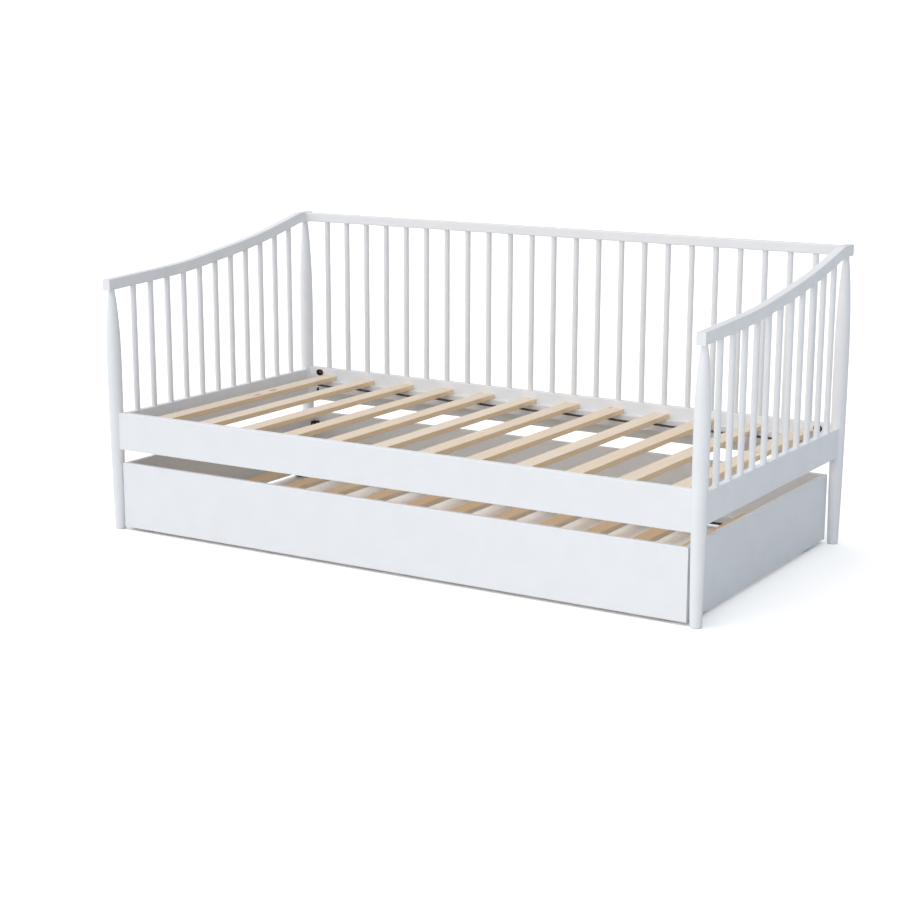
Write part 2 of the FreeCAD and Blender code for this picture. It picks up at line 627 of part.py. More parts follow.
# ---------------------------------------------------------------- casters
def axle(side, y):
    """Stub axle riveted in its plate, with a head that keeps the wheel on."""
    plate = TRUNDLE_INNER_X
    wheel_room = CASTER_PLATE_THICKNESS + WHEEL_WIDTH + 2 * WHEEL_SIDE_GAP
    head = plate - wheel_room
    shank = rod(AXLE_DIAMETER, Vector(side * plate, y, AXLE_HEIGHT),
                Vector(side * head, y, AXLE_HEIGHT))
    cap = rod(AXLE_HEAD_DIAMETER, Vector(side * head, y, AXLE_HEIGHT),
              Vector(side * (head - AXLE_HEAD_THICKNESS), y, AXLE_HEIGHT))
    return shank.fuse(cap).removeSplitter()


def caster_plate(side, y):
    """Steel plate on the end panel's inner face that carries one axle."""
    x = side * TRUNDLE_INNER_X
    plate = block((x, x - side * CASTER_PLATE_THICKNESS),
                  (y - CASTER_PLATE_WIDTH / 2, y + CASTER_PLATE_WIDTH / 2),
                  (CASTER_PLATE_BOTTOM, TRUNDLE_DECK_TOP - CASTER_PLATE_BELOW_DECK))
    plate = plate.makeFillet(CASTER_PLATE_CORNER, edges_along(plate, X_AXIS))
    holes = [screw_hole(head, tip, BRACKET_SCREW_LENGTH) for head, tip in caster_screw_heads()]
    return plate.cut(holes + [axle(side, y)])


def wheel(side, y):
    """Rimmed wheel with a hub and a thinner web, bored to run on its axle."""
    outer = TRUNDLE_INNER_X - CASTER_PLATE_THICKNESS - WHEEL_SIDE_GAP
    start = Vector(side * outer, y, AXLE_HEIGHT)
    inward = X_AXIS * -side
    disc = rod(WHEEL_DIAMETER, start, start + inward * WHEEL_WIDTH)
    rims = [edge for edge in disc.Edges if edge.BoundBox.XLength < 0.001]
    disc = disc.makeFillet(WHEEL_EASED_EDGE, rims)
    recess_outer = WHEEL_DIAMETER - 2 * WHEEL_RIM
    cuts = [rod(AXLE_DIAMETER + 2 * WHEEL_BORE_CLEARANCE, start, start + inward * WHEEL_WIDTH)]
    for begin in (start, start + inward * (WHEEL_WIDTH - WHEEL_RECESS)):
        ring = rod(recess_outer, begin, begin + inward * WHEEL_RECESS)
        cuts.append(ring.cut(rod(WHEEL_HUB_DIAMETER, begin, begin + inward * WHEEL_RECESS)))
    return disc.cut(cuts)


def caster_places():
    """Every caster: side name, face name, side sign and place along Y."""
    return [(side_name, face_name, side, y) for side_name, side in SIDES.items()
            for face_name, y in zip(FACES, WHEEL_PLACES_Y)]


# ---------------------------------------------------------------- the whole part
def bed_frame():
    """Pieces of the standing bed."""
    pieces = {f"post_{face}_{side}": post(side, face) for face in FACES for side in SIDES}
    for side in SIDES:
        pieces[f"arm_rail_{side}"] = arm_rail(side)
        pieces[f"end_rail_{side}"] = end_rail(side)
        pieces[f"arm_spindles_{side}"] = arm_spindles(side)
    for face, sign in FACES.items():
        pieces[f"{face}_rail"] = long_rail(face)
        pieces[f"bed_ledge_{face}"] = BED_KIT.ledge(sign)
    pieces["back_top_rail"] = back_top_rail()
    pieces["back_spindles"] = back_spindles()
    pieces.update(BED_KIT.slats("bed"))
    pieces["bed_slat_straps"] = BED_KIT.straps()
    pieces["hanger_bolts"] = Part.makeCompound([hanger_bolt(*place) for place in corners()])
    pieces["half_moon_nuts"] = Part.makeCompound([half_moon_nut(*place) for place in corners()])
    pieces["bed_ledge_screws"] = Part.makeCompound(ledge_screws(BED_KIT, BED_LEDGE_SCREW_LENGTH))
    return pieces


def trundle():
    """Pieces of the rolling box, with its casters."""
    pieces = {"trundle_front_panel": long_panel(TRUNDLE_FRONT_Y, TRUNDLE_INNER_FRONT_Y),
              "trundle_back_panel": long_panel(TRUNDLE_BACK_Y, TRUNDLE_INNER_BACK_Y)}
    for name, side in SIDES.items():
        pieces[f"trundle_{name}_panel"] = end_panel(side)
    for name, face in FACES.items():
        pieces[f"trundle_ledge_{name}"] = TRUNDLE_KIT.ledge(face)
    pieces.update(TRUNDLE_KIT.slats("trundle"))
    pieces["trundle_slat_straps"] = TRUNDLE_KIT.straps()
    pieces["trundle_dowels"] = Part.makeCompound(dowels())
    pieces["trundle_corner_brackets"] = corner_brackets()
    pieces["trundle_screws"] = trundle_screws()
    pieces["caster_plates"] = Part.makeCompound([caster_plate(place[2], place[3])
                                                 for place in caster_places()])
    pieces["caster_axles"] = Part.makeCompound([axle(place[2], place[3])
                                                for place in caster_places()])
    for side_name, face_name, side, y in caster_places():
        pieces[f"wheel_{face_name}_{side_name}"] = wheel(side, y)
    return pieces


os.makedirs("parts", exist_ok=True)
for node, shape in {**bed_frame(), **trundle()}.items():
    shape.exportStep(f"parts/{node}.step")
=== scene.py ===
"""Looks of a daybed with a rolling trundle: paint, pine, webbing, small fasteners, light and camera.

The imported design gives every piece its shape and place. This script dresses those pieces, adds the
webbing, staples, screws and threads that the design holds only as plain solids, and sets the studio.
Lengths are in metres.
"""

from __future__ import annotations

import json
import logging
import math
from dataclasses import dataclass
from enum import Enum

import bmesh
import bpy
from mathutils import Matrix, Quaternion, Vector

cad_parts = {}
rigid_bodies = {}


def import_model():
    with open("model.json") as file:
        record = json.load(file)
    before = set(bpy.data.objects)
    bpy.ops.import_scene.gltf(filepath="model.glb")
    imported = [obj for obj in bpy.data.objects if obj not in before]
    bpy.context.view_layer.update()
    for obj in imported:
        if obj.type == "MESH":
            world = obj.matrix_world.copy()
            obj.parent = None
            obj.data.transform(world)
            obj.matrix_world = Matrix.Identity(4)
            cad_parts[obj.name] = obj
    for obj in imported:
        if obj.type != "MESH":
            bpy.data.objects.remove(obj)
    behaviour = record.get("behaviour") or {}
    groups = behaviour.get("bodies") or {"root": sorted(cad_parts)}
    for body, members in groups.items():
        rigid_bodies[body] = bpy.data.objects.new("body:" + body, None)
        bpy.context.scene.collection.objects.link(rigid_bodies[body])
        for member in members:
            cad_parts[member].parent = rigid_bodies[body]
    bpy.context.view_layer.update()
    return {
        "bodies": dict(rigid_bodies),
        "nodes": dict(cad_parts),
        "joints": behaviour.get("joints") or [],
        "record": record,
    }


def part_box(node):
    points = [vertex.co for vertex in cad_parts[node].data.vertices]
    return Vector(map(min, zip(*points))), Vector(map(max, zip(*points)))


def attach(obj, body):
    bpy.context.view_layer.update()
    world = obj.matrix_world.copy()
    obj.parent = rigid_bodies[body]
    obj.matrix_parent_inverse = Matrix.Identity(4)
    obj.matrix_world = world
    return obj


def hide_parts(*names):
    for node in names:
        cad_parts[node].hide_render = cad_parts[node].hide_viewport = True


LOG = logging.getLogger("trundle_bed")
Colour = tuple[float, float, float]
Place = tuple[float, float, float]


class Grain(Enum):
    """Direction in which the fibres of a wooden piece run."""

    X = "x"
    Y = "y"
    Z = "z"


class Body(Enum):
    """The two large moving halves of the bed."""

    BED = "bed_frame"
    TRUNDLE = "trundle"


# ------------------------------------------------------------------------------ node trees
class Tree:
    """A node tree that is being built, with short ways to add nodes and wire them."""

    def __init__(self, tree: bpy.types.NodeTree) -> None:
        """Keeps the shader or geometry tree to build in."""
        self.tree = tree

    def wire(self, socket: bpy.types.NodeSocket, value: object) -> None:
        """Feeds an input from another socket, or sets it to a plain value or colour.

        Args:
            socket: The input.
            value: The socket to wire from, or the value.
        """
        if isinstance(value, bpy.types.NodeSocket):
            self.tree.links.new(value, socket)
        else:
            socket.default_value = value

    def put(self, kind: str, inputs: dict | None = None, **settings: object) -> bpy.types.Node:
        """Adds one node.

        Args:
            kind: The node's type name.
            inputs: Input sockets by name or number, each with a value or a socket to wire from.
            **settings: Properties of the node itself.

        Returns:
            The new node.
        """
        node = self.tree.nodes.new(kind)
        for name, value in settings.items():
            setattr(node, name, value)
        for key, value in (inputs or {}).items():
            self.wire(node.inputs[key], value)
        return node

    def calc(self, operation: str, *values: object) -> bpy.types.NodeSocket:
        """Adds a Math node for numbers or sockets and returns its result."""
        return self.put("ShaderNodeMath", dict(enumerate(values)), operation=operation).outputs[0]

    def vector(self, operation: str, *values: object) -> bpy.types.NodeSocket:
        """Adds a Vector Math node for vectors or sockets and returns its resulting vector."""
        kind = "ShaderNodeVectorMath"
        return self.put(kind, dict(enumerate(values)), operation=operation).outputs[0]

    def split(self, vector: bpy.types.NodeSocket) -> bpy.types.NodeOutputs:
        """Splits a vector into the sockets of its three parts."""
        return self.put("ShaderNodeSeparateXYZ", {0: vector}).outputs

    def join(self, parts: dict[int, object]) -> bpy.types.NodeSocket:
        """Joins parts, given by their number, into a vector. A part left out is zero."""
        return self.put("ShaderNodeCombineXYZ", parts).outputs[0]

    def noise(self, vector: bpy.types.NodeSocket, scale: object = 1.0, detail: float = 2.0,
              roughness: float = 0.5) -> bpy.types.NodeSocket:
        """Adds a noise texture.

        Args:
            vector: Where the noise is read.
            scale: A number or a socket.
            detail: How many finer layers it has.
            roughness: How strong the finer layers are.

        Returns:
            A socket from 0 to 1.
        """
        return self.put("ShaderNodeTexNoise", {"Vector": vector, "Scale": scale, "Detail": detail,
                                               "Roughness": roughness}).outputs[0]

    def ramp(self, value: object, low: float, high: float, to_low: float = 0.0,
             to_high: float = 1.0) -> bpy.types.NodeSocket:
        """Adds a smooth, clamped change of range.

        Args:
            value: The socket to read.
            low: Where the change starts.
            high: Where it ends.
            to_low: The result at the start.
            to_high: The result at the end.

        Returns:
            The result's socket.
        """
        kind = "ShaderNodeMapRange"
        inputs = {0: value, 1: low, 2: high, 3: to_low, 4: to_high}
        return self.put(kind, inputs, interpolation_type="SMOOTHSTEP").outputs[0]

    def mix(self, share: object, first: object, second: object) -> bpy.types.NodeSocket:
        """Adds a colour mix.

        Args:
            share: How much of the second colour shows.
            first: The first colour or socket.
            second: The second colour or socket.

        Returns:
            The mixed colour's socket.
        """
        node = self.put("ShaderNodeMix", data_type="RGBA")
        for identifier, value in (("Factor_Float", share), ("A_Color", first),
                                  ("B_Color", second)):
            socket = next(s for s in node.inputs if s.identifier == identifier)
            self.wire(socket, (*value, 1.0) if isinstance(value, tuple) else value)
        return next(s for s in node.outputs if s.identifier == "Result_Color")

    def sockets(self, into: dict[str, tuple], out: dict[str, str]) -> bpy.types.Node:
        """Gives a group its named inputs and outputs.

        Args:
            into: Input name to socket type and default value.
            out: Output name to socket type.

        Returns:
            The group's input node.
        """
        for name, (kind, default) in into.items():
            socket = self.tree.interface.new_socket(name=name, in_out="INPUT", socket_type=kind)
            if default is not None:
                socket.default_value = default
        for name, kind in out.items():
            self.tree.interface.new_socket(name=name, in_out="OUTPUT", socket_type=kind)
        return self.tree.nodes.new("NodeGroupInput")

    def give(self, results: dict[str, bpy.types.NodeSocket]) -> None:
        """Wires a group's results, by name, to its outputs."""
        self.put("NodeGroupOutput", results)

    def set_out(self, inputs: dict, material: bpy.types.NodeSocket) -> None:
        """Ends a geometry group: sets a shape at points, makes it real and gives it a material.

        Args:
            inputs: The inputs of the node that sets shapes at points.
            material: The socket that holds the material.
        """
        placed = self.put("GeometryNodeInstanceOnPoints", inputs)
        real = self.put("GeometryNodeRealizeInstances", {"Geometry": placed.outputs[0]})
        dressed = self.put("GeometryNodeSetMaterial", {"Geometry": real.outputs[0],
                                                       "Material": material})
        self.give({"Geometry": dressed.outputs[0]})


# ------------------------------------------------------------------------------ shared effects
class Effects:
    """Shader groups that several finishes share. Each is built once."""

    seed_step = (3.1, 7.7, 5.3)
    knot_cells = (13.0, 4.2, 13.0)
    knotless_share = 0.62
    knot_bulge = 0.012
    wave_stretch = (9.0, 1.1, 9.0)
    wave_reach = 0.075
    ring_slant = 0.55
    ring_sharpness = 2.2
    fibre_stretch = (620.0, 9.0, 620.0)
    mottle_scale = 14.0
    dust_scale = 22.0
    upper_deck_height = 0.2
    upper_deck_number = 57.0

    def __init__(self) -> None:
        """Builds the four groups."""
        self.figure = self._wood_figure()
        self.film = self._surface_film()
        self.dust = self._settled_dust()
        self.plank = self._plank_number()

    @staticmethod
    def _new(name: str) -> Tree:
        """Starts an empty shader group of that name."""
        return Tree(bpy.data.node_groups.new(name, "ShaderNodeTree"))

    def _wood_figure(self) -> bpy.types.NodeTree:
        """Growth rings, fibres and knots of a board whose fibres run along its Y.

        Returns:
            A group with Rings, Fibres and Knots, each from 0 to 1.
        """
        tree = self._new("wood_figure")
        given = tree.sockets({"Vector": ("NodeSocketVector", None),
                              "Ring Pitch": ("NodeSocketFloat", 0.004),
                              "Seed": ("NodeSocketFloat", 0.0)},
                             dict.fromkeys(("Rings", "Fibres", "Knots"), "NodeSocketFloat"))
        shift = tree.vector("SCALE", self.seed_step)
        tree.tree.links.new(given.outputs["Seed"], shift.node.inputs["Scale"])
        place = tree.vector("ADD", given.outputs["Vector"], shift)
        knot_space = tree.vector("MULTIPLY", place, self.knot_cells)
        cells = tree.put("ShaderNodeTexVoronoi", {"Vector": knot_space, "Scale": 1.0})
        present = tree.calc("GREATER_THAN", tree.put(
            "ShaderNodeSeparateColor", {0: cells.outputs["Color"]}).outputs[0], self.knotless_share)
        knots = tree.calc("MULTIPLY", tree.ramp(cells.outputs["Distance"], 0.045, 0.12, 1.0, 0.0),
                          present)
        bulge = tree.calc("MULTIPLY", tree.ramp(cells.outputs["Distance"], 0.0, 0.42, 1.0, 0.0),
                          tree.calc("MULTIPLY", present, self.knot_bulge))
        waves = tree.noise(tree.vector("MULTIPLY", place, self.wave_stretch), roughness=0.45)
        parts = tree.split(place)
        across = tree.calc("MULTIPLY_ADD", parts[2], self.ring_slant, parts[0])
        across = tree.calc("MULTIPLY_ADD", waves, self.wave_reach, across)
        across = tree.calc("ADD", across, bulge)
        turn = tree.calc("FRACT", tree.calc("DIVIDE", across, given.outputs["Ring Pitch"]))
        rings = tree.calc("MULTIPLY", tree.calc("POWER", turn, self.ring_sharpness),
                          tree.ramp(turn, 0.9, 1.0, 1.0, 0.0))
        fibres = tree.noise(tree.vector("MULTIPLY", place, self.fibre_stretch))
        tree.give({"Rings": rings, "Fibres": fibres, "Knots": knots})
        return tree.tree

    def _surface_film(self) -> bpy.types.NodeTree:
        """The fine unevenness of a sprayed, moulded or plated skin.

        Returns:
            A group with Height, for bump, and Mottle, for roughness, each from 0 to 1.
        """
        tree = self._new("surface_film")
        given = tree.sockets({"Vector": ("NodeSocketVector", None),
                              "Ripple Size": ("NodeSocketFloat", 0.003)},
                             dict.fromkeys(("Height", "Mottle"), "NodeSocketFloat"))
        scale = tree.calc("DIVIDE", 1.0, given.outputs["Ripple Size"])
        ripple = tree.noise(given.outputs["Vector"], scale, 1.5)
        mottle = tree.noise(given.outputs["Vector"], self.mottle_scale, 3.0)
        tree.give({"Height": ripple, "Mottle": tree.ramp(mottle, 0.3, 0.7)})
        return tree.tree

    def _settled_dust(self) -> bpy.types.NodeTree:
        """Faint dust that gathers on surfaces that face up.

        Returns:
            A group with Mask, from 0 to 1.
        """
        tree = self._new("settled_dust")
        given = tree.sockets({"Vector": ("NodeSocketVector", None),
                              "Amount": ("NodeSocketFloat", 0.2)}, {"Mask": "NodeSocketFloat"})
        normal = tree.put("ShaderNodeNewGeometry").outputs["Normal"]
        upward = tree.ramp(tree.split(normal)[2], 0.55, 0.95)
        patches = tree.noise(given.outputs["Vector"], self.dust_scale, 4.0)
        dust = tree.calc("MULTIPLY", upward, tree.ramp(patches, 0.35, 0.75))
        tree.give({"Mask": tree.calc("MULTIPLY", dust, given.outputs["Amount"])})
        return tree.tree

    def _plank_number(self) -> bpy.types.NodeTree:
        """A number of its own for each board in a row of boards.

        Returns:
            A group with Seed, from 0 to 1, the same all over one board.
        """
        tree = self._new("plank_number")
        given = tree.sockets({"Vector": ("NodeSocketVector", None),
                              "First": ("NodeSocketFloat", 0.0),
                              "Pitch": ("NodeSocketFloat", 0.1)}, {"Seed": "NodeSocketFloat"})
        parts = tree.split(given.outputs["Vector"])
        along = tree.calc("SUBTRACT", parts[0], given.outputs["First"])
        number = tree.calc("ROUND", tree.calc("DIVIDE", along, given.outputs["Pitch"]))
        upper = tree.calc("GREATER_THAN", parts[2], self.upper_deck_height)
        deck = tree.calc("MULTIPLY", upper, self.upper_deck_number)
        noise = tree.put("ShaderNodeTexWhiteNoise", {"W": tree.calc("ADD", number, deck)},
                         noise_dimensions="1D")
        tree.give({"Seed": noise.outputs["Value"]})
        return tree.tree


# ------------------------------------------------------------------------------ finishes
class Finish:
    """One material: a Principled shader fed by the shared effects."""

    def __init__(self, name: str, effects: Effects) -> None:
        """Starts the material.

        Args:
            name: The material's name.
            effects: The shared shader groups.
        """
        self.material = bpy.data.materials.new(name)
        self.material.use_nodes = True
        self.material.node_tree.nodes.clear()
        self.tree = Tree(self.material.node_tree)
        self.effects = effects
        self.place = self.tree.put("ShaderNodeTexCoord").outputs["Object"]
        self.skin = self.tree.put("ShaderNodeBsdfPrincipled")
        self.tree.put("ShaderNodeOutputMaterial", {"Surface": self.skin.outputs[0]})

    def group(self, tree: bpy.types.NodeTree, inputs: dict) -> bpy.types.Node:
        """Places a shared effect.

        Args:
            tree: The effect's group.
            inputs: Its input values or sockets by name.

        Returns:
            The group node.
        """
        node = self.tree.put("ShaderNodeGroup")
        node.node_tree = tree
        for name, value in inputs.items():
            self.tree.wire(node.inputs[name], value)
        return node

    def set(self, **values: object) -> None:
        """Sets plain values on the shader's own sockets, with _ for a space in a name."""
        for name, value in values.items():
            socket = self.skin.inputs[name.replace("_", " ")]
            socket.default_value = (*value, 1.0) if isinstance(value, tuple) else value

    def feed(self, name: str, socket: bpy.types.NodeSocket) -> None:
        """Wires a socket to the shader's input of that name."""
        self.tree.wire(self.skin.inputs[name], socket)

    def bump(self, height: bpy.types.NodeSocket, depth: float) -> None:
        """Gives the surface fine relief, whose depth in metres a height of 1 stands for."""
        node = self.tree.put("ShaderNodeBump", {"Height": height, "Distance": depth,
                                                "Strength": 1.0})
        self.feed("Normal", node.outputs[0])

    def along(self, grain: Grain) -> bpy.types.NodeSocket:
        """Object coordinates turned so that a board's fibres run along Y.

        Args:
            grain: The direction of the fibres.

        Returns:
            The turned coordinates.
        """
        parts = self.tree.split(self.place)
        order = {Grain.X: (1, 0, 2), Grain.Y: (0, 1, 2), Grain.Z: (0, 2, 1)}[grain]
        return self.tree.join({slot: parts[axis] for slot, axis in enumerate(order)})


@dataclass(frozen=True)
class SatinPaint:
    """Sprayed satin white paint over planed wood, whose grain just shows through."""

    colour: Colour = (0.815, 0.828, 0.850)
    shade: Colour = (0.795, 0.806, 0.826)
    dust_colour: Colour = (0.74, 0.73, 0.71)
    bare_wood: Colour = (0.30, 0.165, 0.085)
    roughness: tuple[float, float] = (0.34, 0.43)
    ring_pitch: float = 0.0055
    ring_share: float = 0.10
    ring_relief: float = 0.35
    dust: float = 0.10
    bare_roughness: float = 0.8
    ripple: float = 0.0028
    relief: float = 0.00006

    def make(self, effects: Effects, grain: Grain, pockets: "Pockets | None" = None) -> Finish:
        """Builds the paint for boards that run one way.

        Args:
            effects: The shared shader groups.
            grain: The direction of the fibres under the paint.
            pockets: Where drilled wood shows bare, if the piece has pockets.

        Returns:
            The finish.
        """
        name = f"white_paint_{grain.value}" + ("_pocketed" if pockets else "")
        finish = Finish(name, effects)
        tree = finish.tree
        figure = finish.group(effects.figure, {"Vector": finish.along(grain),
                                               "Ring Pitch": self.ring_pitch})
        film = finish.group(effects.film, {"Vector": finish.place, "Ripple Size": self.ripple})
        dust = finish.group(effects.dust, {"Vector": finish.place, "Amount": self.dust})
        colour = tree.mix(film.outputs["Mottle"], self.colour, self.shade)
        rings = tree.calc("MULTIPLY", figure.outputs["Rings"], self.ring_share)
        colour = tree.mix(rings, colour, self.shade)
        colour = tree.mix(dust.outputs["Mask"], colour, self.dust_colour)
        rough = tree.ramp(film.outputs["Mottle"], 0.0, 1.0, *self.roughness)
        if pockets:
            bare = pockets.mask(finish)
            tone = tree.mix(figure.outputs["Fibres"], self.bare_wood,
                            tuple(0.6 * part for part in self.bare_wood))
            colour = tree.mix(bare, colour, tone)
            rough = tree.calc("MAXIMUM", rough, tree.calc("MULTIPLY", bare, self.bare_roughness))
        finish.feed("Base Color", colour)
        finish.feed("Roughness", rough)
        height = tree.calc("MULTIPLY_ADD", figure.outputs["Rings"], self.ring_relief,
                           film.outputs["Height"])
        finish.bump(height, self.relief)
        return finish


@dataclass(frozen=True)
class Pockets:
    """Where the nut pockets lie in the front and back rails, mirrored in both directions."""

    centre: Place
    half_size: Place
    soft_edge: float = 0.0006

    def mask(self, finish: Finish) -> bpy.types.NodeSocket:
        """Marks the walls of the pockets.

        Args:
            finish: The finish that needs the mask.

        Returns:
            A socket that is 1 inside a pocket and 0 elsewhere.
        """
        tree = finish.tree
        mirrored = tree.vector("ABSOLUTE", finish.place)
        apart = tree.vector("ABSOLUTE", tree.vector("SUBTRACT", mirrored, self.centre))
        inside = tree.split(tree.vector("SUBTRACT", self.half_size, apart))
        masks = [tree.ramp(side, 0.0, self.soft_edge) for side in inside[:3]]
        return tree.calc("MULTIPLY", tree.calc("MULTIPLY", masks[0], masks[1]), masks[2])


@dataclass(frozen=True)
class PlanedPine:
    """Bare planed pine with growth rings, fibres and a few small knots, and painted bounce light on the
    slats' sides.
    """

    name: str = "planed_pine"
    pale: Colour = (0.865, 0.745, 0.605)
    creamy: Colour = (0.895, 0.805, 0.690)
    late_wood: Colour = (0.600, 0.370, 0.190)
    # Painted bounce light: the colour of the slats' sides and ends.
    side_bounce_light: Colour = (0.900, 0.690, 0.450)
    knot: Colour = (0.240, 0.100, 0.040)
    ring_share: float = 0.70
    streak_share: float = 0.22
    knot_share: float = 0.75
    roughness: tuple[float, float] = (0.52, 0.68)
    ring_pitch: float = 0.0105
    relief: float = 0.00012

    def make(self, effects: Effects, first: float, pitch: float) -> Finish:
        """Builds the pine for a deck of slats that lie across the bed.

        Args:
            effects: The shared shader groups.
            first: The first slat's middle along X.
            pitch: From one slat's middle to the next.

        Returns:
            The finish.
        """
        finish = Finish(self.name, effects)
        tree = finish.tree
        seed = finish.group(effects.plank, {"Vector": finish.place, "First": first,
                                            "Pitch": pitch}).outputs["Seed"]
        figure = finish.group(effects.figure, {"Vector": finish.along(Grain.Y), "Seed": seed,
                                               "Ring Pitch": self.ring_pitch})
        # Painted bounce light: faces that stand on edge, the slats' sides and ends, take a warmer, more
        # saturated colour than the tops.
        normal = tree.put("ShaderNodeNewGeometry").outputs["Normal"]
        level = tree.calc("ABSOLUTE", tree.split(normal)[2])
        face = tree.ramp(level, 0.25, 0.85)
        colour = tree.mix(seed, self.pale, self.creamy)
        colour = tree.mix(tree.calc("MULTIPLY", figure.outputs["Rings"], self.ring_share),
                          colour, self.late_wood)
        colour = tree.mix(face, self.side_bounce_light, colour)
        streak = tree.ramp(figure.outputs["Fibres"], 0.35, 0.7, 0.0, self.streak_share)
        colour = tree.mix(streak, colour, self.late_wood)
        knots = tree.calc("MULTIPLY", figure.outputs["Knots"], self.knot_share)
        colour = tree.mix(knots, colour, self.knot)
        finish.feed("Base Color", colour)
        finish.feed("Roughness", tree.ramp(figure.outputs["Fibres"], 0.2, 0.8, *self.roughness))
        height = tree.calc("MULTIPLY_ADD", figure.outputs["Rings"], 0.5, figure.outputs["Fibres"])
        finish.bump(height, self.relief)
        return finish


@dataclass(frozen=True)
class WovenWebbing:
    """Black polypropylene webbing, ribbed along its length."""

    colour: Colour = (0.004, 0.004, 0.005)
    thread: Colour = (0.012, 0.012, 0.014)
    rib: float = 0.0016
    pick: float = 0.0021
    waviness: float = 1.2
    ripple: float = 0.0012
    roughness: tuple[float, float] = (0.62, 0.80)
    relief: float = 0.0003

    def make(self, effects: Effects) -> Finish:
        """Builds the webbing.

        Args:
            effects: The shared shader groups.

        Returns:
            The finish.
        """
        finish = Finish("woven_webbing", effects)
        tree = finish.tree
        parts = tree.split(finish.place)
        warp = tree.calc("SINE", tree.calc("MULTIPLY", parts[1], 2 * math.pi / self.rib))
        weft = tree.calc("SINE", tree.calc("MULTIPLY_ADD", warp, self.waviness, tree.calc(
            "MULTIPLY", parts[0], 2 * math.pi / self.pick)))
        weave = tree.ramp(tree.calc("MULTIPLY", warp, weft), -1.0, 1.0)
        film = finish.group(effects.film, {"Vector": finish.place, "Ripple Size": self.ripple})
        finish.feed("Base Color", tree.mix(weave, self.colour, self.thread))
        finish.feed("Roughness", tree.ramp(film.outputs["Mottle"], 0.0, 1.0, *self.roughness))
        finish.bump(weave, self.relief)
        return finish


@dataclass(frozen=True)
class Moulded:
    """A plain solid finish with a fine skin: plated steel, black oxide or moulded plastic."""

    name: str
    colour: Colour
    worn: Colour
    metallic: float
    roughness: tuple[float, float]
    ripple: float
    relief: float
    dust: float = 0.08
    dust_colour: Colour = (0.45, 0.44, 0.42)

    def make(self, effects: Effects) -> Finish:
        """Builds the finish.

        Args:
            effects: The shared shader groups.

        Returns:
            The finish.
        """
        finish = Finish(self.name, effects)
        tree = finish.tree
        film = finish.group(effects.film, {"Vector": finish.place, "Ripple Size": self.ripple})
        dust = finish.group(effects.dust, {"Vector": finish.place, "Amount": self.dust})
        colour = tree.mix(film.outputs["Mottle"], self.colour, self.worn)
        finish.feed("Base Color", tree.mix(dust.outputs["Mask"], colour, self.dust_colour))
        finish.feed("Roughness", tree.ramp(film.outputs["Mottle"], 0.0, 1.0, *self.roughness))
        finish.bump(film.outputs["Height"], self.relief)
        finish.set(Metallic=self.metallic)
        return finish


@dataclass(frozen=True)
class FlutedBeech:
    """Beech dowels with their short, dark rays."""

    colour: Colour = (0.58, 0.40, 0.24)
    ray: Colour = (0.36, 0.20, 0.10)
    ray_share: float = 0.5
    ring_pitch: float = 0.003
    relief: float = 0.0002
    roughness: float = 0.6

    def make(self, effects: Effects) -> Finish:
        """Builds the beech.

        Args:
            effects: The shared shader groups.

        Returns:
            The finish.
        """
        finish = Finish("fluted_beech", effects)
        figure = finish.group(effects.figure, {"Vector": finish.along(Grain.Y),
                                               "Ring Pitch": self.ring_pitch})
        share = finish.tree.calc("MULTIPLY", figure.outputs["Fibres"], self.ray_share)
        finish.feed("Base Color", finish.tree.mix(share, self.colour, self.ray))
        finish.bump(figure.outputs["Fibres"], self.relief)
        finish.set(Roughness=self.roughness)
        return finish


# The trundle's slats: the same pine with painted bounce light. It is warmer and more golden all over
# and creamier on the sides, for light bounced down from the bed's slats above.
BOUNCE_LIT_PINE = PlanedPine(name="planed_pine_bounce_lit", pale=(0.850, 0.610, 0.370),
                        creamy=(0.870, 0.670, 0.450), late_wood=(0.560, 0.290, 0.110),
                        side_bounce_light=(0.900, 0.760, 0.590))
ZINC = Moulded("zinc_plate", (0.60, 0.62, 0.64), (0.48, 0.50, 0.52), 1.0, (0.26, 0.44), 0.0008,
               0.00004)
BLACK_OXIDE = Moulded("black_oxide", (0.020, 0.019, 0.018), (0.045, 0.042, 0.038), 0.85,
                      (0.36, 0.52), 0.0010, 0.00006)
BROWN_PLASTIC = Moulded("plastic_brown", (0.050, 0.018, 0.009), (0.075, 0.030, 0.016), 0.0,
                        (0.38, 0.52), 0.0012, 0.00010)
WHEEL_PLASTIC = Moulded("plastic_wheel", (0.035, 0.036, 0.039), (0.060, 0.060, 0.063), 0.0,
                        (0.40, 0.58), 0.0015, 0.00010)


# ------------------------------------------------------------------------------ solids that repeat
@dataclass(frozen=True)
class Solid:
    """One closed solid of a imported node: its box and where its vertices lie."""

    low: Vector
    high: Vector
    points: tuple[Vector, ...]

    @property
    def middle(self) -> Vector:
        """The middle of the solid's box."""
        return (self.low + self.high) / 2

    @property
    def axis(self) -> int:
        """The number of the solid's longest direction."""
        size = self.high - self.low
        return max(range(3), key=lambda number: size[number])

    def head(self) -> tuple[Vector, Vector, float]:
        """Finds the wide end of a screw-like solid.

        Returns:
            The middle of the head's flat face, the direction in which it faces, and its radius.
        """
        axis, middle = self.axis, self.middle
        reach = [(point - middle) for point in self.points]
        for offset in reach:
            offset[axis] = 0.0
        radius = max(offset.length for offset in reach)
        rim = [point[axis] for point, offset in zip(self.points, reach)
               if offset.length > 0.95 * radius]
        facing = Vector((0.0, 0.0, 0.0))
        facing[axis] = 1.0 if sum(rim) / len(rim) > middle[axis] else -1.0
        flat = middle.copy()
        flat[axis] = self.high[axis] if facing[axis] > 0 else self.low[axis]
        return flat, facing, radius


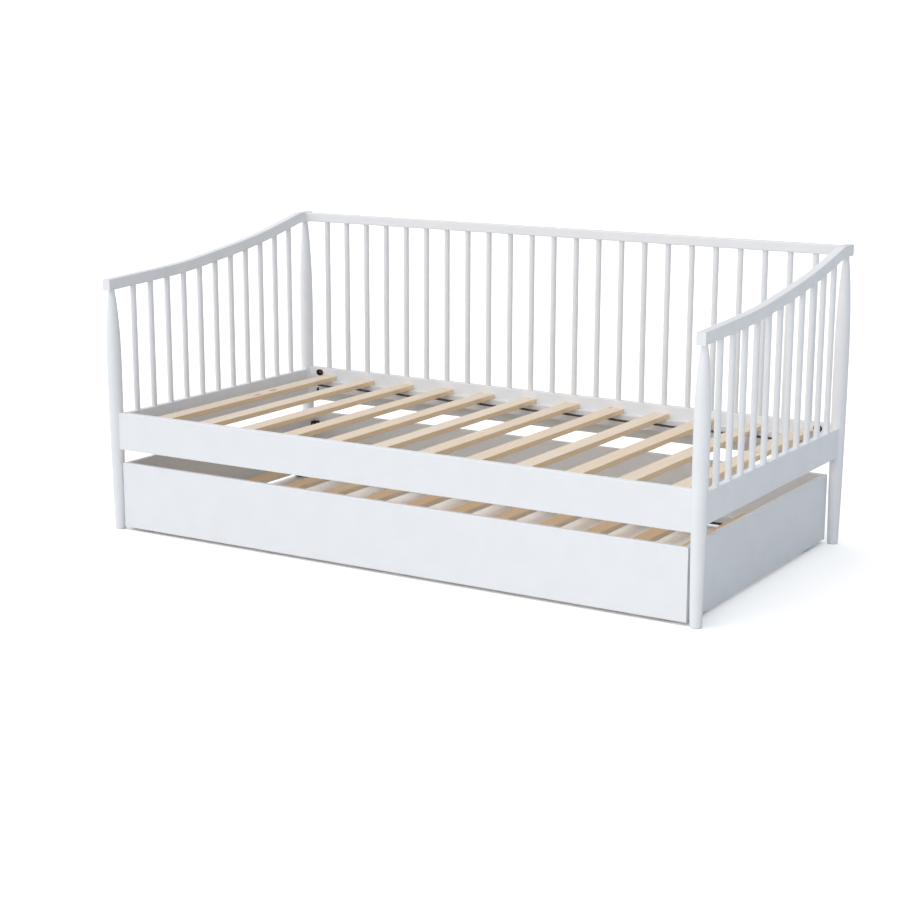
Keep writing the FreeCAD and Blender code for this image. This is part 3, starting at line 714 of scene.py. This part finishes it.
def solids_of(node: bpy.types.Object) -> list[Solid]:
    """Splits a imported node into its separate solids.

    Args:
        node: The node's object, which is only read.

    Returns:
        One entry for each solid.
    """
    mesh = bmesh.new()
    mesh.from_mesh(node.data)
    bmesh.ops.remove_doubles(mesh, verts=mesh.verts, dist=1e-6)
    waiting, found = set(mesh.verts), []
    while waiting:
        front, island = [waiting.pop()], []
        while front:
            vertex = front.pop()
            island.append(vertex.co.copy())
            near = {edge.other_vert(vertex) for edge in vertex.link_edges} & waiting
            waiting -= near
            front.extend(near)
        low = Vector(min(point[axis] for point in island) for axis in range(3))
        high = Vector(max(point[axis] for point in island) for axis in range(3))
        found.append(Solid(low, high, tuple(island)))
    mesh.free()
    found.sort(key=lambda solid: tuple(round(value, 5) for value in solid.low))
    return found


def place_object(name: str, data: bpy.types.ID) -> bpy.types.Object:
    """Puts a new object with that name and data into the scene, at the origin.

    Args:
        name: The object's name.
        data: Its mesh, light or camera.

    Returns:
        The object.
    """
    thing = bpy.data.objects.new(name, data)
    bpy.context.scene.collection.objects.link(thing)
    return thing


def mesh_object(name: str, mesh: bmesh.types.BMesh, smooth: bool = True) -> bpy.types.Object:
    """Turns a bmesh into an object at the origin.

    Args:
        name: The object's name.
        mesh: The shape, which is freed.
        smooth: Whether its faces are shaded smooth.

    Returns:
        The object, linked to the scene.
    """
    data = bpy.data.meshes.new(name)
    mesh.normal_update()
    mesh.to_mesh(data)
    mesh.free()
    for polygon in data.polygons:
        polygon.use_smooth = smooth
    return place_object(name, data)


class RowTree:
    """Geometry tree that sets one shape at every point of a mesh and turns it to the point's facing."""

    def __init__(self) -> None:
        """Builds the tree."""
        self.group = bpy.data.node_groups.new("fastener_rows", "GeometryNodeTree")
        tree = Tree(self.group)
        given = tree.sockets({"Geometry": ("NodeSocketGeometry", None),
                              "Fastener": ("NodeSocketObject", None),
                              "Random Turn": ("NodeSocketFloat", 0.0),
                              "Seed": ("NodeSocketInt", 3),
                              "Material": ("NodeSocketMaterial", None)},
                             {"Geometry": "NodeSocketGeometry"})
        facing = tree.put("GeometryNodeInputNamedAttribute", {"Name": "facing"},
                          data_type="FLOAT_VECTOR").outputs["Attribute"]
        aligned = tree.put("FunctionNodeAlignRotationToVector", {"Vector": facing}, axis="Z")
        turn = tree.put("FunctionNodeRandomValue", {"Seed": given.outputs["Seed"]},
                        data_type="FLOAT")
        turn.inputs[2].default_value = -1.0
        angle = tree.calc("MULTIPLY", turn.outputs[1], given.outputs["Random Turn"])
        spin = tree.put("FunctionNodeAxisAngleToRotation", {"Axis": (0.0, 0.0, 1.0),
                                                            "Angle": angle})
        rotation = tree.put("FunctionNodeRotateRotation", {0: aligned.outputs[0],
                                                           1: spin.outputs[0]},
                            rotation_space="LOCAL")
        shape = tree.put("GeometryNodeObjectInfo", {"Object": given.outputs["Fastener"]})
        tree.set_out({"Points": given.outputs["Geometry"], "Instance": shape.outputs["Geometry"],
                      "Rotation": rotation.outputs[0]}, given.outputs["Material"])

    def make(self, name: str, places: list[tuple[Vector, Vector]], shape: bpy.types.Object,
             finish: Finish, random_turn: float = 0.0) -> bpy.types.Object:
        """Sets a shape at every place.

        Args:
            name: The new piece's name.
            places: Points and the directions in which the shape's Z is to face.
            shape: The shape, standing at the origin, which is removed afterwards.
            finish: The piece's finish.
            random_turn: The most that a shape may be turned about its own Z, in radians.

        Returns:
            The piece as a plain mesh at the origin.
        """
        points = bpy.data.meshes.new(name + "_points")
        points.from_pydata([tuple(place) for place, _ in places], [], [])
        facing = points.attributes.new("facing", "FLOAT_VECTOR", "POINT")
        for number, (_, direction) in enumerate(places):
            facing.data[number].vector = direction
        holder = place_object(name + "_points", points)
        piece = bake(holder, self.group, {"Fastener": shape, "Random Turn": random_turn,
                                          "Material": finish.material}, name)
        bpy.data.objects.remove(shape)
        return piece


def bake(holder: bpy.types.Object, group: bpy.types.NodeTree, values: dict[str, object],
         name: str) -> bpy.types.Object:
    """Runs a geometry tree on an object and keeps the result as a plain mesh.

    Args:
        holder: The object that the tree starts from, which is removed.
        group: The geometry tree.
        values: The tree's input values by name.
        name: The new piece's name.

    Returns:
        The piece, at the origin, with no modifier.
    """
    modifier = holder.modifiers.new("shape", "NODES")
    modifier.node_group = group
    for item in group.interface.items_tree:
        if item.item_type == "SOCKET" and item.in_out == "INPUT" and item.name in values:
            modifier[item.identifier] = values[item.name]
    bpy.context.view_layer.update()
    graph = bpy.context.evaluated_depsgraph_get()
    data = bpy.data.meshes.new_from_object(holder.evaluated_get(graph), depsgraph=graph)
    data.name = name
    piece = place_object(name, data)
    bpy.data.objects.remove(holder)
    return piece


# ------------------------------------------------------------------------------ webbing
@dataclass
class StrapSet:
    """The two webbing straps of one slat deck, held by staples."""

    body: Body
    node: str
    first_slat: float
    pitch: float
    slat_width: float
    dip: float = 0.0022
    steps_per_pitch: int = 24
    staple_crown: float = 0.0115
    staple_leg: float = 0.0045
    staple_wire: float = 0.0006
    staple_inset: float = 0.016
    staple_turn: float = 0.12

    @staticmethod
    def tree() -> bpy.types.NodeTree:
        """Geometry tree of one strap that sags a little between the slats it is stapled to.

        Returns:
            The tree, with its sizes as named inputs.
        """
        group = bpy.data.node_groups.new("webbing_strap", "GeometryNodeTree")
        tree = Tree(group)
        number = "NodeSocketFloat"
        given = tree.sockets({"Geometry": ("NodeSocketGeometry", None),
                              "Length": (number, 1.8), "Width": (number, 0.025),
                              "Thickness": (number, 0.0015), "Dip": (number, 0.002),
                              "First Slat": (number, -0.9), "Pitch": (number, 0.16),
                              "Slat Width": (number, 0.055), "Height": (number, 0.3),
                              "Middle": (number, 0.0), "Spread": (number, 0.78),
                              "Points": ("NodeSocketInt", 300),
                              "Material": ("NodeSocketMaterial", None)},
                             {"Geometry": "NodeSocketGeometry"}).outputs
        half = tree.calc("MULTIPLY", given["Length"], 0.5)
        line = tree.put("GeometryNodeCurvePrimitiveLine", {
            "Start": tree.join({0: tree.calc("MULTIPLY", half, -1.0)}), "End": tree.join({0: half})})
        fine = tree.put("GeometryNodeResampleCurve", {"Curve": line.outputs[0],
                                                      "Count": given["Points"]})
        place = tree.split(tree.put("GeometryNodeInputPosition").outputs[0])[0]
        turn = tree.calc("FRACT", tree.calc("DIVIDE", tree.calc(
            "SUBTRACT", place, given["First Slat"]), given["Pitch"]))
        held = tree.calc("DIVIDE", tree.calc("MULTIPLY", given["Slat Width"], 0.5),
                         given["Pitch"])
        open_share = tree.calc("SUBTRACT", 1.0, tree.calc("MULTIPLY", held, 2.0))
        span = tree.calc("DIVIDE", tree.calc("SUBTRACT", turn, held), open_share)
        span = tree.calc("MINIMUM", tree.calc("MAXIMUM", span, 0.0), 1.0)
        sag = tree.calc("MULTIPLY", tree.calc("SINE", tree.calc("MULTIPLY", span, math.pi)),
                        tree.calc("MULTIPLY", given["Dip"], -1.0))
        bent = tree.put("GeometryNodeSetPosition", {
            "Geometry": fine.outputs[0],
            "Offset": tree.join({2: sag})})
        outline = tree.put("GeometryNodeCurvePrimitiveQuadrilateral", {
            "Width": given["Width"], "Height": given["Thickness"]})
        rounded = tree.put("GeometryNodeFilletCurve", {
            "Curve": outline.outputs[0], "Count": 3,
            "Radius": tree.calc("MULTIPLY", given["Thickness"], 0.45)}, mode="POLY")
        upright = tree.put("GeometryNodeSetCurveNormal", {"Curve": bent.outputs[0]},
                           mode="Z_UP")
        strap = tree.put("GeometryNodeCurveToMesh", {"Curve": upright.outputs[0],
                                                     "Profile Curve": rounded.outputs[0],
                                                     "Fill Caps": True})
        front = tree.calc("SUBTRACT", given["Middle"], tree.calc("MULTIPLY", given["Spread"], 0.5))
        pair = tree.put("GeometryNodeMeshLine", {
            "Count": 2, "Start Location": tree.join({1: front, 2: given["Height"]}),
            "Offset": tree.join({1: given["Spread"]})})
        tree.set_out({"Points": pair.outputs[0], "Instance": strap.outputs[0]}, given["Material"])
        return group

    def _staple(self) -> bpy.types.Object:
        """One wire staple at the origin, crown up, with its legs going down along -Z."""
        mesh = bmesh.new()
        half, leg, wire = self.staple_crown / 2, self.staple_leg, self.staple_wire
        bend = 2 * wire
        path = [(-half, -leg), (-half, -bend), (-half + bend, 0.0), (half - bend, 0.0),
                (half, -bend), (half, -leg)]
        corners = ((-wire, -wire), (wire, -wire), (wire, wire), (-wire, wire))
        rings = []
        for number, (x, z) in enumerate(path):
            before = Vector(path[max(number - 1, 0)])
            after = Vector(path[min(number + 1, len(path) - 1)])
            run = (after - before).normalized()
            side = Vector((-run.y, run.x))
            rings.append([mesh.verts.new((x + side.x * out, across, z + side.y * out))
                          for out, across in corners])
        for first, second in zip(rings, rings[1:]):
            for number in range(4):
                following = (number + 1) % 4
                mesh.faces.new((first[number], first[following], second[following],
                                second[number]))
        mesh.faces.new(reversed(rings[0]))
        mesh.faces.new(rings[-1])
        bmesh.ops.recalc_face_normals(mesh, faces=mesh.faces)
        return mesh_object("staple", mesh, smooth=False)

    def build(self, packed: bpy.types.Object, group: bpy.types.NodeTree, rows: RowTree,
              webbing: Finish, steel: Finish) -> None:
        """Makes the straps and their staples.

        Args:
            packed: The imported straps.
            group: The strap tree.
            rows: The tree that sets out fasteners.
            webbing: The straps' finish.
            steel: The staples' finish.
        """
        low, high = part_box(self.node)
        straps = solids_of(packed)
        width = straps[0].high.y - straps[0].low.y
        holder = place_object("strap_start", bpy.data.meshes.new("strap_start"))
        count = int(self.steps_per_pitch * (high.x - low.x) / self.pitch)
        piece = bake(holder, group, {
            "Length": high.x - low.x, "Width": width, "Thickness": high.z - low.z,
            "Dip": self.dip, "First Slat": self.first_slat, "Pitch": self.pitch,
            "Slat Width": self.slat_width, "Height": (low.z + high.z) / 2,
            "Middle": (low.y + high.y) / 2, "Spread": high.y - low.y - width, "Points": count,
            "Material": webbing.material}, self.node.replace("slat_straps", "webbing"))
        for polygon in piece.data.polygons:
            polygon.use_smooth = True
        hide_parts(self.node)
        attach(piece, self.body.value)
        down = Vector((0.0, 0.0, -1.0))
        places = []
        slats = round((-2 * self.first_slat) / self.pitch) + 1
        for strap in straps:
            for number in range(slats):
                middle = self.first_slat + number * self.pitch
                for offset in (-self.staple_inset, self.staple_inset):
                    places.append((Vector((middle + offset, strap.middle.y,
                                           low.z - self.staple_wire)), down))
        staples = rows.make(self.node.replace("slat_straps", "staples"), places, self._staple(),
                            steel, random_turn=self.staple_turn)
        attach(staples, self.body.value)
        LOG.info("%s: %d staples", piece.name, len(places))


# ------------------------------------------------------------------------------ screws and bolts
@dataclass
class CrossHeadScrew:
    """A countersunk screw's head with a cross recess, and a stub of its shank."""

    radius: float
    depth: float = 0.0022
    shank: float = 0.0018
    slot_reach: float = 0.62
    slot_half_width: float = 0.17
    slot_depth: float = 0.0014
    slot_taper: float = 0.72

    def shape(self) -> bpy.types.Object:
        """Builds the screw at the origin, its head's flat facing up at zero height.

        Returns:
            The screw.
        """
        mesh = bmesh.new()
        reach, half = self.radius * self.slot_reach, self.radius * self.slot_half_width
        cross = []
        for quarter in range(4):
            turn = Quaternion((0.0, 0.0, 1.0), quarter * math.pi / 2)
            for x, y in ((half, -half), (reach, -half), (reach, half)):
                cross.append(turn @ Vector((x, y, 0.0)))
        inner = [mesh.verts.new(point) for point in cross]
        floor = [mesh.verts.new(point * self.slot_taper - Vector((0.0, 0.0, self.slot_depth)))
                 for point in cross]
        steps = len(cross) * 2
        rim = [mesh.verts.new((self.radius * math.cos(angle), self.radius * math.sin(angle), 0.0))
               for angle in (2 * math.pi * number / steps + math.atan2(cross[0].y, cross[0].x)
                             for number in range(steps))]
        neck = [mesh.verts.new((self.shank * vertex.co.x / self.radius,
                                self.shank * vertex.co.y / self.radius, -self.depth))
                for vertex in rim]
        tip = [mesh.verts.new(vertex.co - Vector((0.0, 0.0, 2 * self.depth))) for vertex in neck]
        count = len(inner)
        for number in range(count):
            after = (number + 1) % count
            mesh.faces.new((inner[number], rim[2 * number], rim[2 * number + 1]))
            mesh.faces.new((inner[number], rim[2 * number + 1], rim[(2 * number + 2) % steps],
                            inner[after]))
            mesh.faces.new((inner[number], inner[after], floor[after], floor[number]))
        mesh.faces.new(floor)
        for number in range(steps):
            after = (number + 1) % steps
            mesh.faces.new((rim[number], neck[number], neck[after], rim[after]))
            mesh.faces.new((neck[number], tip[number], tip[after], neck[after]))
        mesh.faces.new(tip)
        bmesh.ops.recalc_face_normals(mesh, faces=mesh.faces)
        return mesh_object("cross_head_screw", mesh, smooth=False)


@dataclass
class Fasteners:
    """Screws and hanger bolts of the bed, with the recesses and threads that show."""

    frame: dict
    rows: RowTree
    steel: Finish
    thread_pitch: float = 0.00125
    thread_depth: float = 0.0007
    thread_sides: int = 14

    def screws(self, node: str, body: Body) -> None:
        """Replaces one node's plain screws by cross-headed ones.

        Args:
            node: The node that holds the plain screws.
            body: The body that they ride on.
        """
        heads = [solid.head() for solid in solids_of(self.frame["nodes"][node])]
        places = [(flat, facing) for flat, facing, _ in heads]
        shape = CrossHeadScrew(radius=heads[0][2]).shape()
        piece = self.rows.make(node + "_heads", places, shape, self.steel, random_turn=math.pi)
        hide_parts(node)
        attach(piece, body.value)
        LOG.info("%s: %d screws", piece.name, len(places))

    def bolts(self, node: str, body: Body) -> None:
        """Replaces the plain hanger bolts by threaded ones.

        Args:
            node: The node that holds the plain bolts.
            body: The body that they ride on.
        """
        bolts = solids_of(self.frame["nodes"][node])
        length = bolts[0].high.x - bolts[0].low.x
        radius = (bolts[0].high.z - bolts[0].low.z) / 2
        places = []
        for bolt in bolts:
            inward = Vector((-1.0 if bolt.middle.x > 0 else 1.0, 0.0, 0.0))
            places.append((bolt.middle, inward))
        piece = self.rows.make(node.replace("bolts", "bolt_threads"), places,
                               self._threaded(length, radius), self.steel)
        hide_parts(node)
        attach(piece, body.value)
        LOG.info("%s: %d bolts", piece.name, len(places))

    def _threaded(self, length: float, radius: float) -> bpy.types.Object:
        """A threaded rod along Z, about the origin, with a bevelled point at its upper end.

        Args:
            length: The rod's length.
            radius: The rod's radius over its threads.

        Returns:
            The rod.
        """
        mesh = bmesh.new()
        turns = int(length / self.thread_pitch)
        levels = [(-length / 2, radius - self.thread_depth)]
        for turn in range(turns):
            base = -length / 2 + (turn + 0.15) * self.thread_pitch
            levels.append((base, radius - self.thread_depth))
            levels.append((base + 0.4 * self.thread_pitch, radius))
        levels.append((length / 2, radius - 1.5 * self.thread_depth))
        rings = [[mesh.verts.new((width * math.cos(angle), width * math.sin(angle), height))
                  for angle in (2 * math.pi * side / self.thread_sides
                                for side in range(self.thread_sides))]
                 for height, width in levels]
        for lower, upper in zip(rings, rings[1:]):
            for side in range(self.thread_sides):
                after = (side + 1) % self.thread_sides
                mesh.faces.new((lower[side], lower[after], upper[after], upper[side]))
        mesh.faces.new(reversed(rings[0]))
        mesh.faces.new(rings[-1])
        return mesh_object("threaded_rod", mesh, smooth=False)


# ------------------------------------------------------------------------------ the bed
@dataclass
class PaintedWood:
    """Every painted board, post and spindle."""

    frame: dict
    effects: Effects
    pocket_length: float = 0.032
    pocket_past_nut: float = 0.001
    rail_skin: float = 0.0004
    rail_edge: float = 0.003

    def pockets(self) -> Pockets:
        """Works out where the nut pockets lie from the nuts and the rail that holds them.

        Returns:
            The pockets' shared, mirrored box.
        """
        nut_low, nut_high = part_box("half_moon_nuts")
        rail_low, rail_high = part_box("back_rail")
        half, middle = (rail_high - rail_low) / 2, (rail_low + rail_high) / 2
        return Pockets(
            centre=(nut_high.x - self.pocket_length / 2 + self.pocket_past_nut, middle.y, middle.z),
            half_size=(self.pocket_length / 2, half.y - self.rail_skin, half.z - self.rail_edge))

    def dress(self) -> None:
        """Gives each painted piece paint whose grain runs its own way."""
        paint = SatinPaint()
        plain = {grain: paint.make(self.effects, grain) for grain in Grain}
        pocketed = paint.make(self.effects, Grain.X, self.pockets())
        for name, node in self.frame["nodes"].items():
            slots = [slot.material.name.split(".")[0] for slot in node.material_slots]
            if slots != ["white_paint"]:
                continue
            if name in ("front_rail", "back_rail"):
                finish = pocketed
            elif name.startswith("post") or "spindles" in name:
                finish = plain[Grain.Z]
            elif name.startswith(("arm", "end")) or name.endswith(("left_panel", "right_panel")):
                finish = plain[Grain.Y]
            else:
                finish = plain[Grain.X]
            node.material_slots[0].material = finish.material
            LOG.info("%s: %s", name, finish.material.name)


@dataclass
class SlatDecks:
    """The bed's deck and the trundle's deck: pine slats on webbing straps."""

    frame: dict
    effects: Effects

    def build(self, rows: RowTree, steel: Finish) -> None:
        """Dresses the slats and makes the straps.

        Args:
            rows: The tree that sets out fasteners.
            steel: The staples' finish.
        """
        slats = sorted(name for name in self.frame["nodes"] if name.startswith("bed_slat_")
                       and name[-2:].isdigit())
        first_low, first_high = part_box(slats[0])
        last_low, last_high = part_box(slats[-1])
        first = (first_low.x + first_high.x) / 2
        pitch = ((last_low.x + last_high.x) / 2 - first) / (len(slats) - 1)
        # The trundle's slats take the copy of the pine with painted bounce light.
        pine = {Body.BED: PlanedPine(), Body.TRUNDLE: BOUNCE_LIT_PINE}
        for body, prefix in ((Body.BED, "bed_slat_"), (Body.TRUNDLE, "trundle_slat_")):
            finish = pine[body].make(self.effects, first, pitch)
            for name, node in self.frame["nodes"].items():
                if name.startswith(prefix) and name[-2:].isdigit():
                    node.material_slots[0].material = finish.material
        webbing = WovenWebbing().make(self.effects)
        strap_tree = StrapSet.tree()
        for body, node in ((Body.BED, "bed_slat_straps"), (Body.TRUNDLE, "trundle_slat_straps")):
            straps = StrapSet(body, node, first, pitch, first_high.x - first_low.x)
            straps.build(self.frame["nodes"][node], strap_tree, rows, webbing, steel)


@dataclass
class Hardware:
    """Nuts, plates, axles, wheels, brackets and dowels."""

    frame: dict
    effects: Effects

    def dress(self, steel: Finish) -> None:
        """Gives each small part its finish.

        Args:
            steel: The zinc finish that the plates and axles share with the screws.
        """
        finishes = {"zinc_steel": steel, "black_steel": BLACK_OXIDE.make(self.effects),
                    "brown_plastic": BROWN_PLASTIC.make(self.effects),
                    "wheel_plastic": WHEEL_PLASTIC.make(self.effects),
                    "dowel_beech": FlutedBeech().make(self.effects)}
        for name, node in self.frame["nodes"].items():
            for slot in node.material_slots:
                finish = finishes.get(slot.material.name.split(".")[0])
                if finish:
                    slot.material = finish.material
                    LOG.info("%s: %s", name, finish.material.name)


# ------------------------------------------------------------------------------ studio
@dataclass(frozen=True)
class Softbox:
    """One large soft light."""

    name: str
    place: Place
    target: Place
    size: tuple[float, float]
    power: float
    colour: Colour = (1.0, 1.0, 1.0)

    def build(self) -> None:
        """Hangs the light and points it at its target."""
        light = bpy.data.lights.new(self.name, "AREA")
        light.shape = "RECTANGLE"
        light.size, light.size_y = self.size
        light.energy = self.power
        light.color = self.colour
        lamp = place_object(self.name, light)
        lamp.location = self.place
        aim = Vector(self.target) - Vector(self.place)
        lamp.rotation_mode = "QUATERNION"
        lamp.rotation_quaternion = aim.to_track_quat("-Z", "Y")


@dataclass(frozen=True)
class Studio:
    """Pale floor, soft light and camera."""

    azimuth: float = 30.713
    elevation: float = 13.368
    roll: float = 0.277
    lens: float = 76.05
    shift: tuple[float, float] = (-0.0323, 0.0426)
    camera_place: Place = (2.9692, -4.9593, 1.5255)
    sensor: float = 36.0
    floor_reach: float = 40.0
    floor_colour: Colour = (1.37, 1.35, 1.33)
    floor_bounce: Colour = (0.73, 0.75, 0.77)
    sky_strength: float = 1.52
    sky_fall_off: float = 0.95
    sky_brightest: Place = (-0.66, -0.60, 0.45)
    sky_colour: Colour = (1.0, 0.992, 0.985)
    sky_shade: Colour = (0.62, 0.80, 1.0)
    tint_reach: float = 1.3
    backdrop_strength: float = 1.1

    def camera(self) -> None:
        """Sets the camera at its place, turned to its bearing."""
        data = bpy.data.cameras.new("camera")
        data.sensor_width = self.sensor
        data.lens = self.lens
        data.shift_x, data.shift_y = self.shift
        data.clip_end = 200.0
        side, up = math.radians(self.azimuth), math.radians(self.elevation)
        look = Vector((-math.sin(side) * math.cos(up), math.cos(side) * math.cos(up),
                       -math.sin(up)))
        camera = place_object("camera", data)
        camera.location = self.camera_place
        camera.rotation_mode = "QUATERNION"
        turn = Quaternion((0.0, 0.0, 1.0), math.radians(self.roll))
        camera.rotation_quaternion = look.to_track_quat("-Z", "Y") @ turn
        bpy.context.scene.camera = camera

    def floor(self, effects: Effects) -> None:
        """Lays the plain pale floor, which isn't part of the bed.

        Args:
            effects: The shared shader groups.
        """
        mesh = bmesh.new()
        bmesh.ops.create_grid(mesh, x_segments=4, y_segments=4, size=self.floor_reach)
        bmesh.ops.translate(mesh, verts=mesh.verts, vec=(0.0, 0.0, -0.0005))
        floor = mesh_object("studio_floor", mesh, smooth=False)
        finish = Finish("studio_floor", effects)
        seen = finish.tree.put("ShaderNodeLightPath").outputs["Is Camera Ray"]
        finish.feed("Base Color", finish.tree.mix(seen, self.floor_bounce, self.floor_colour))
        finish.set(Roughness=0.9, Specular_IOR_Level=0.0)
        floor.data.materials.append(finish.material)

    def sky(self) -> None:
        """Surrounds the set with a dome of soft light, brightest above and to the front left."""
        world = bpy.data.worlds.new("studio")
        world.use_nodes = True
        world.node_tree.nodes.clear()
        tree = Tree(world.node_tree)
        seen = tree.put("ShaderNodeLightPath").outputs["Is Camera Ray"]
        bearing = tree.put("ShaderNodeTexCoord").outputs["Generated"]
        brightest = Vector(self.sky_brightest).normalized()
        facing = tree.put("ShaderNodeVectorMath", {0: bearing, 1: brightest},
                          operation="DOT_PRODUCT").outputs["Value"]
        share = tree.calc("POWER", tree.calc("MULTIPLY_ADD", facing, 0.5, 0.5), self.sky_fall_off)
        tint = tree.calc("MINIMUM", tree.calc("MULTIPLY", share, self.tint_reach), 1.0)
        soft = tree.put("ShaderNodeBackground", {
            "Color": tree.mix(tint, self.sky_shade, self.sky_colour),
            "Strength": tree.calc("MULTIPLY", share, self.sky_strength)})
        white = tree.put("ShaderNodeBackground", {"Color": (1.0, 1.0, 1.0, 1.0),
                                                  "Strength": self.backdrop_strength})
        both = tree.put("ShaderNodeMixShader", {0: seen, 1: soft.outputs[0],
                                                2: white.outputs[0]})
        tree.put("ShaderNodeOutputWorld", {"Surface": both.outputs[0]})
        bpy.context.scene.world = world

    def build(self, effects: Effects) -> None:
        """Sets up the whole studio.

        Args:
            effects: The shared shader groups.
        """
        bpy.context.scene.view_settings.view_transform = "Standard"
        self.camera()
        self.floor(effects)
        self.sky()
        for box in SOFTBOXES:
            box.build()


SOFTBOXES = (
    Softbox("key", (-4.2, -5.2, 3.6), (0.0, 0.0, 0.3), (4.0, 3.0), 20.0),
    Softbox("fill", (2.9, -2.3, 0.6), (1.0, -0.4, 0.3), (0.9, 0.9), 5.0),
)


def main() -> None:
    """Builds everything in order."""
    logging.basicConfig(level=logging.INFO, format="%(message)s")
    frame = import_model()
    effects = Effects()
    rows = RowTree()
    steel = ZINC.make(effects)
    PaintedWood(frame, effects).dress()
    SlatDecks(frame, effects).build(rows, steel)
    Hardware(frame, effects).dress(steel)
    fasteners = Fasteners(frame, rows, steel)
    fasteners.screws("bed_ledge_screws", Body.BED)
    fasteners.screws("trundle_screws", Body.TRUNDLE)
    fasteners.bolts("hanger_bolts", Body.BED)
    Studio().build(effects)


if __name__ == "__main__":
    main()
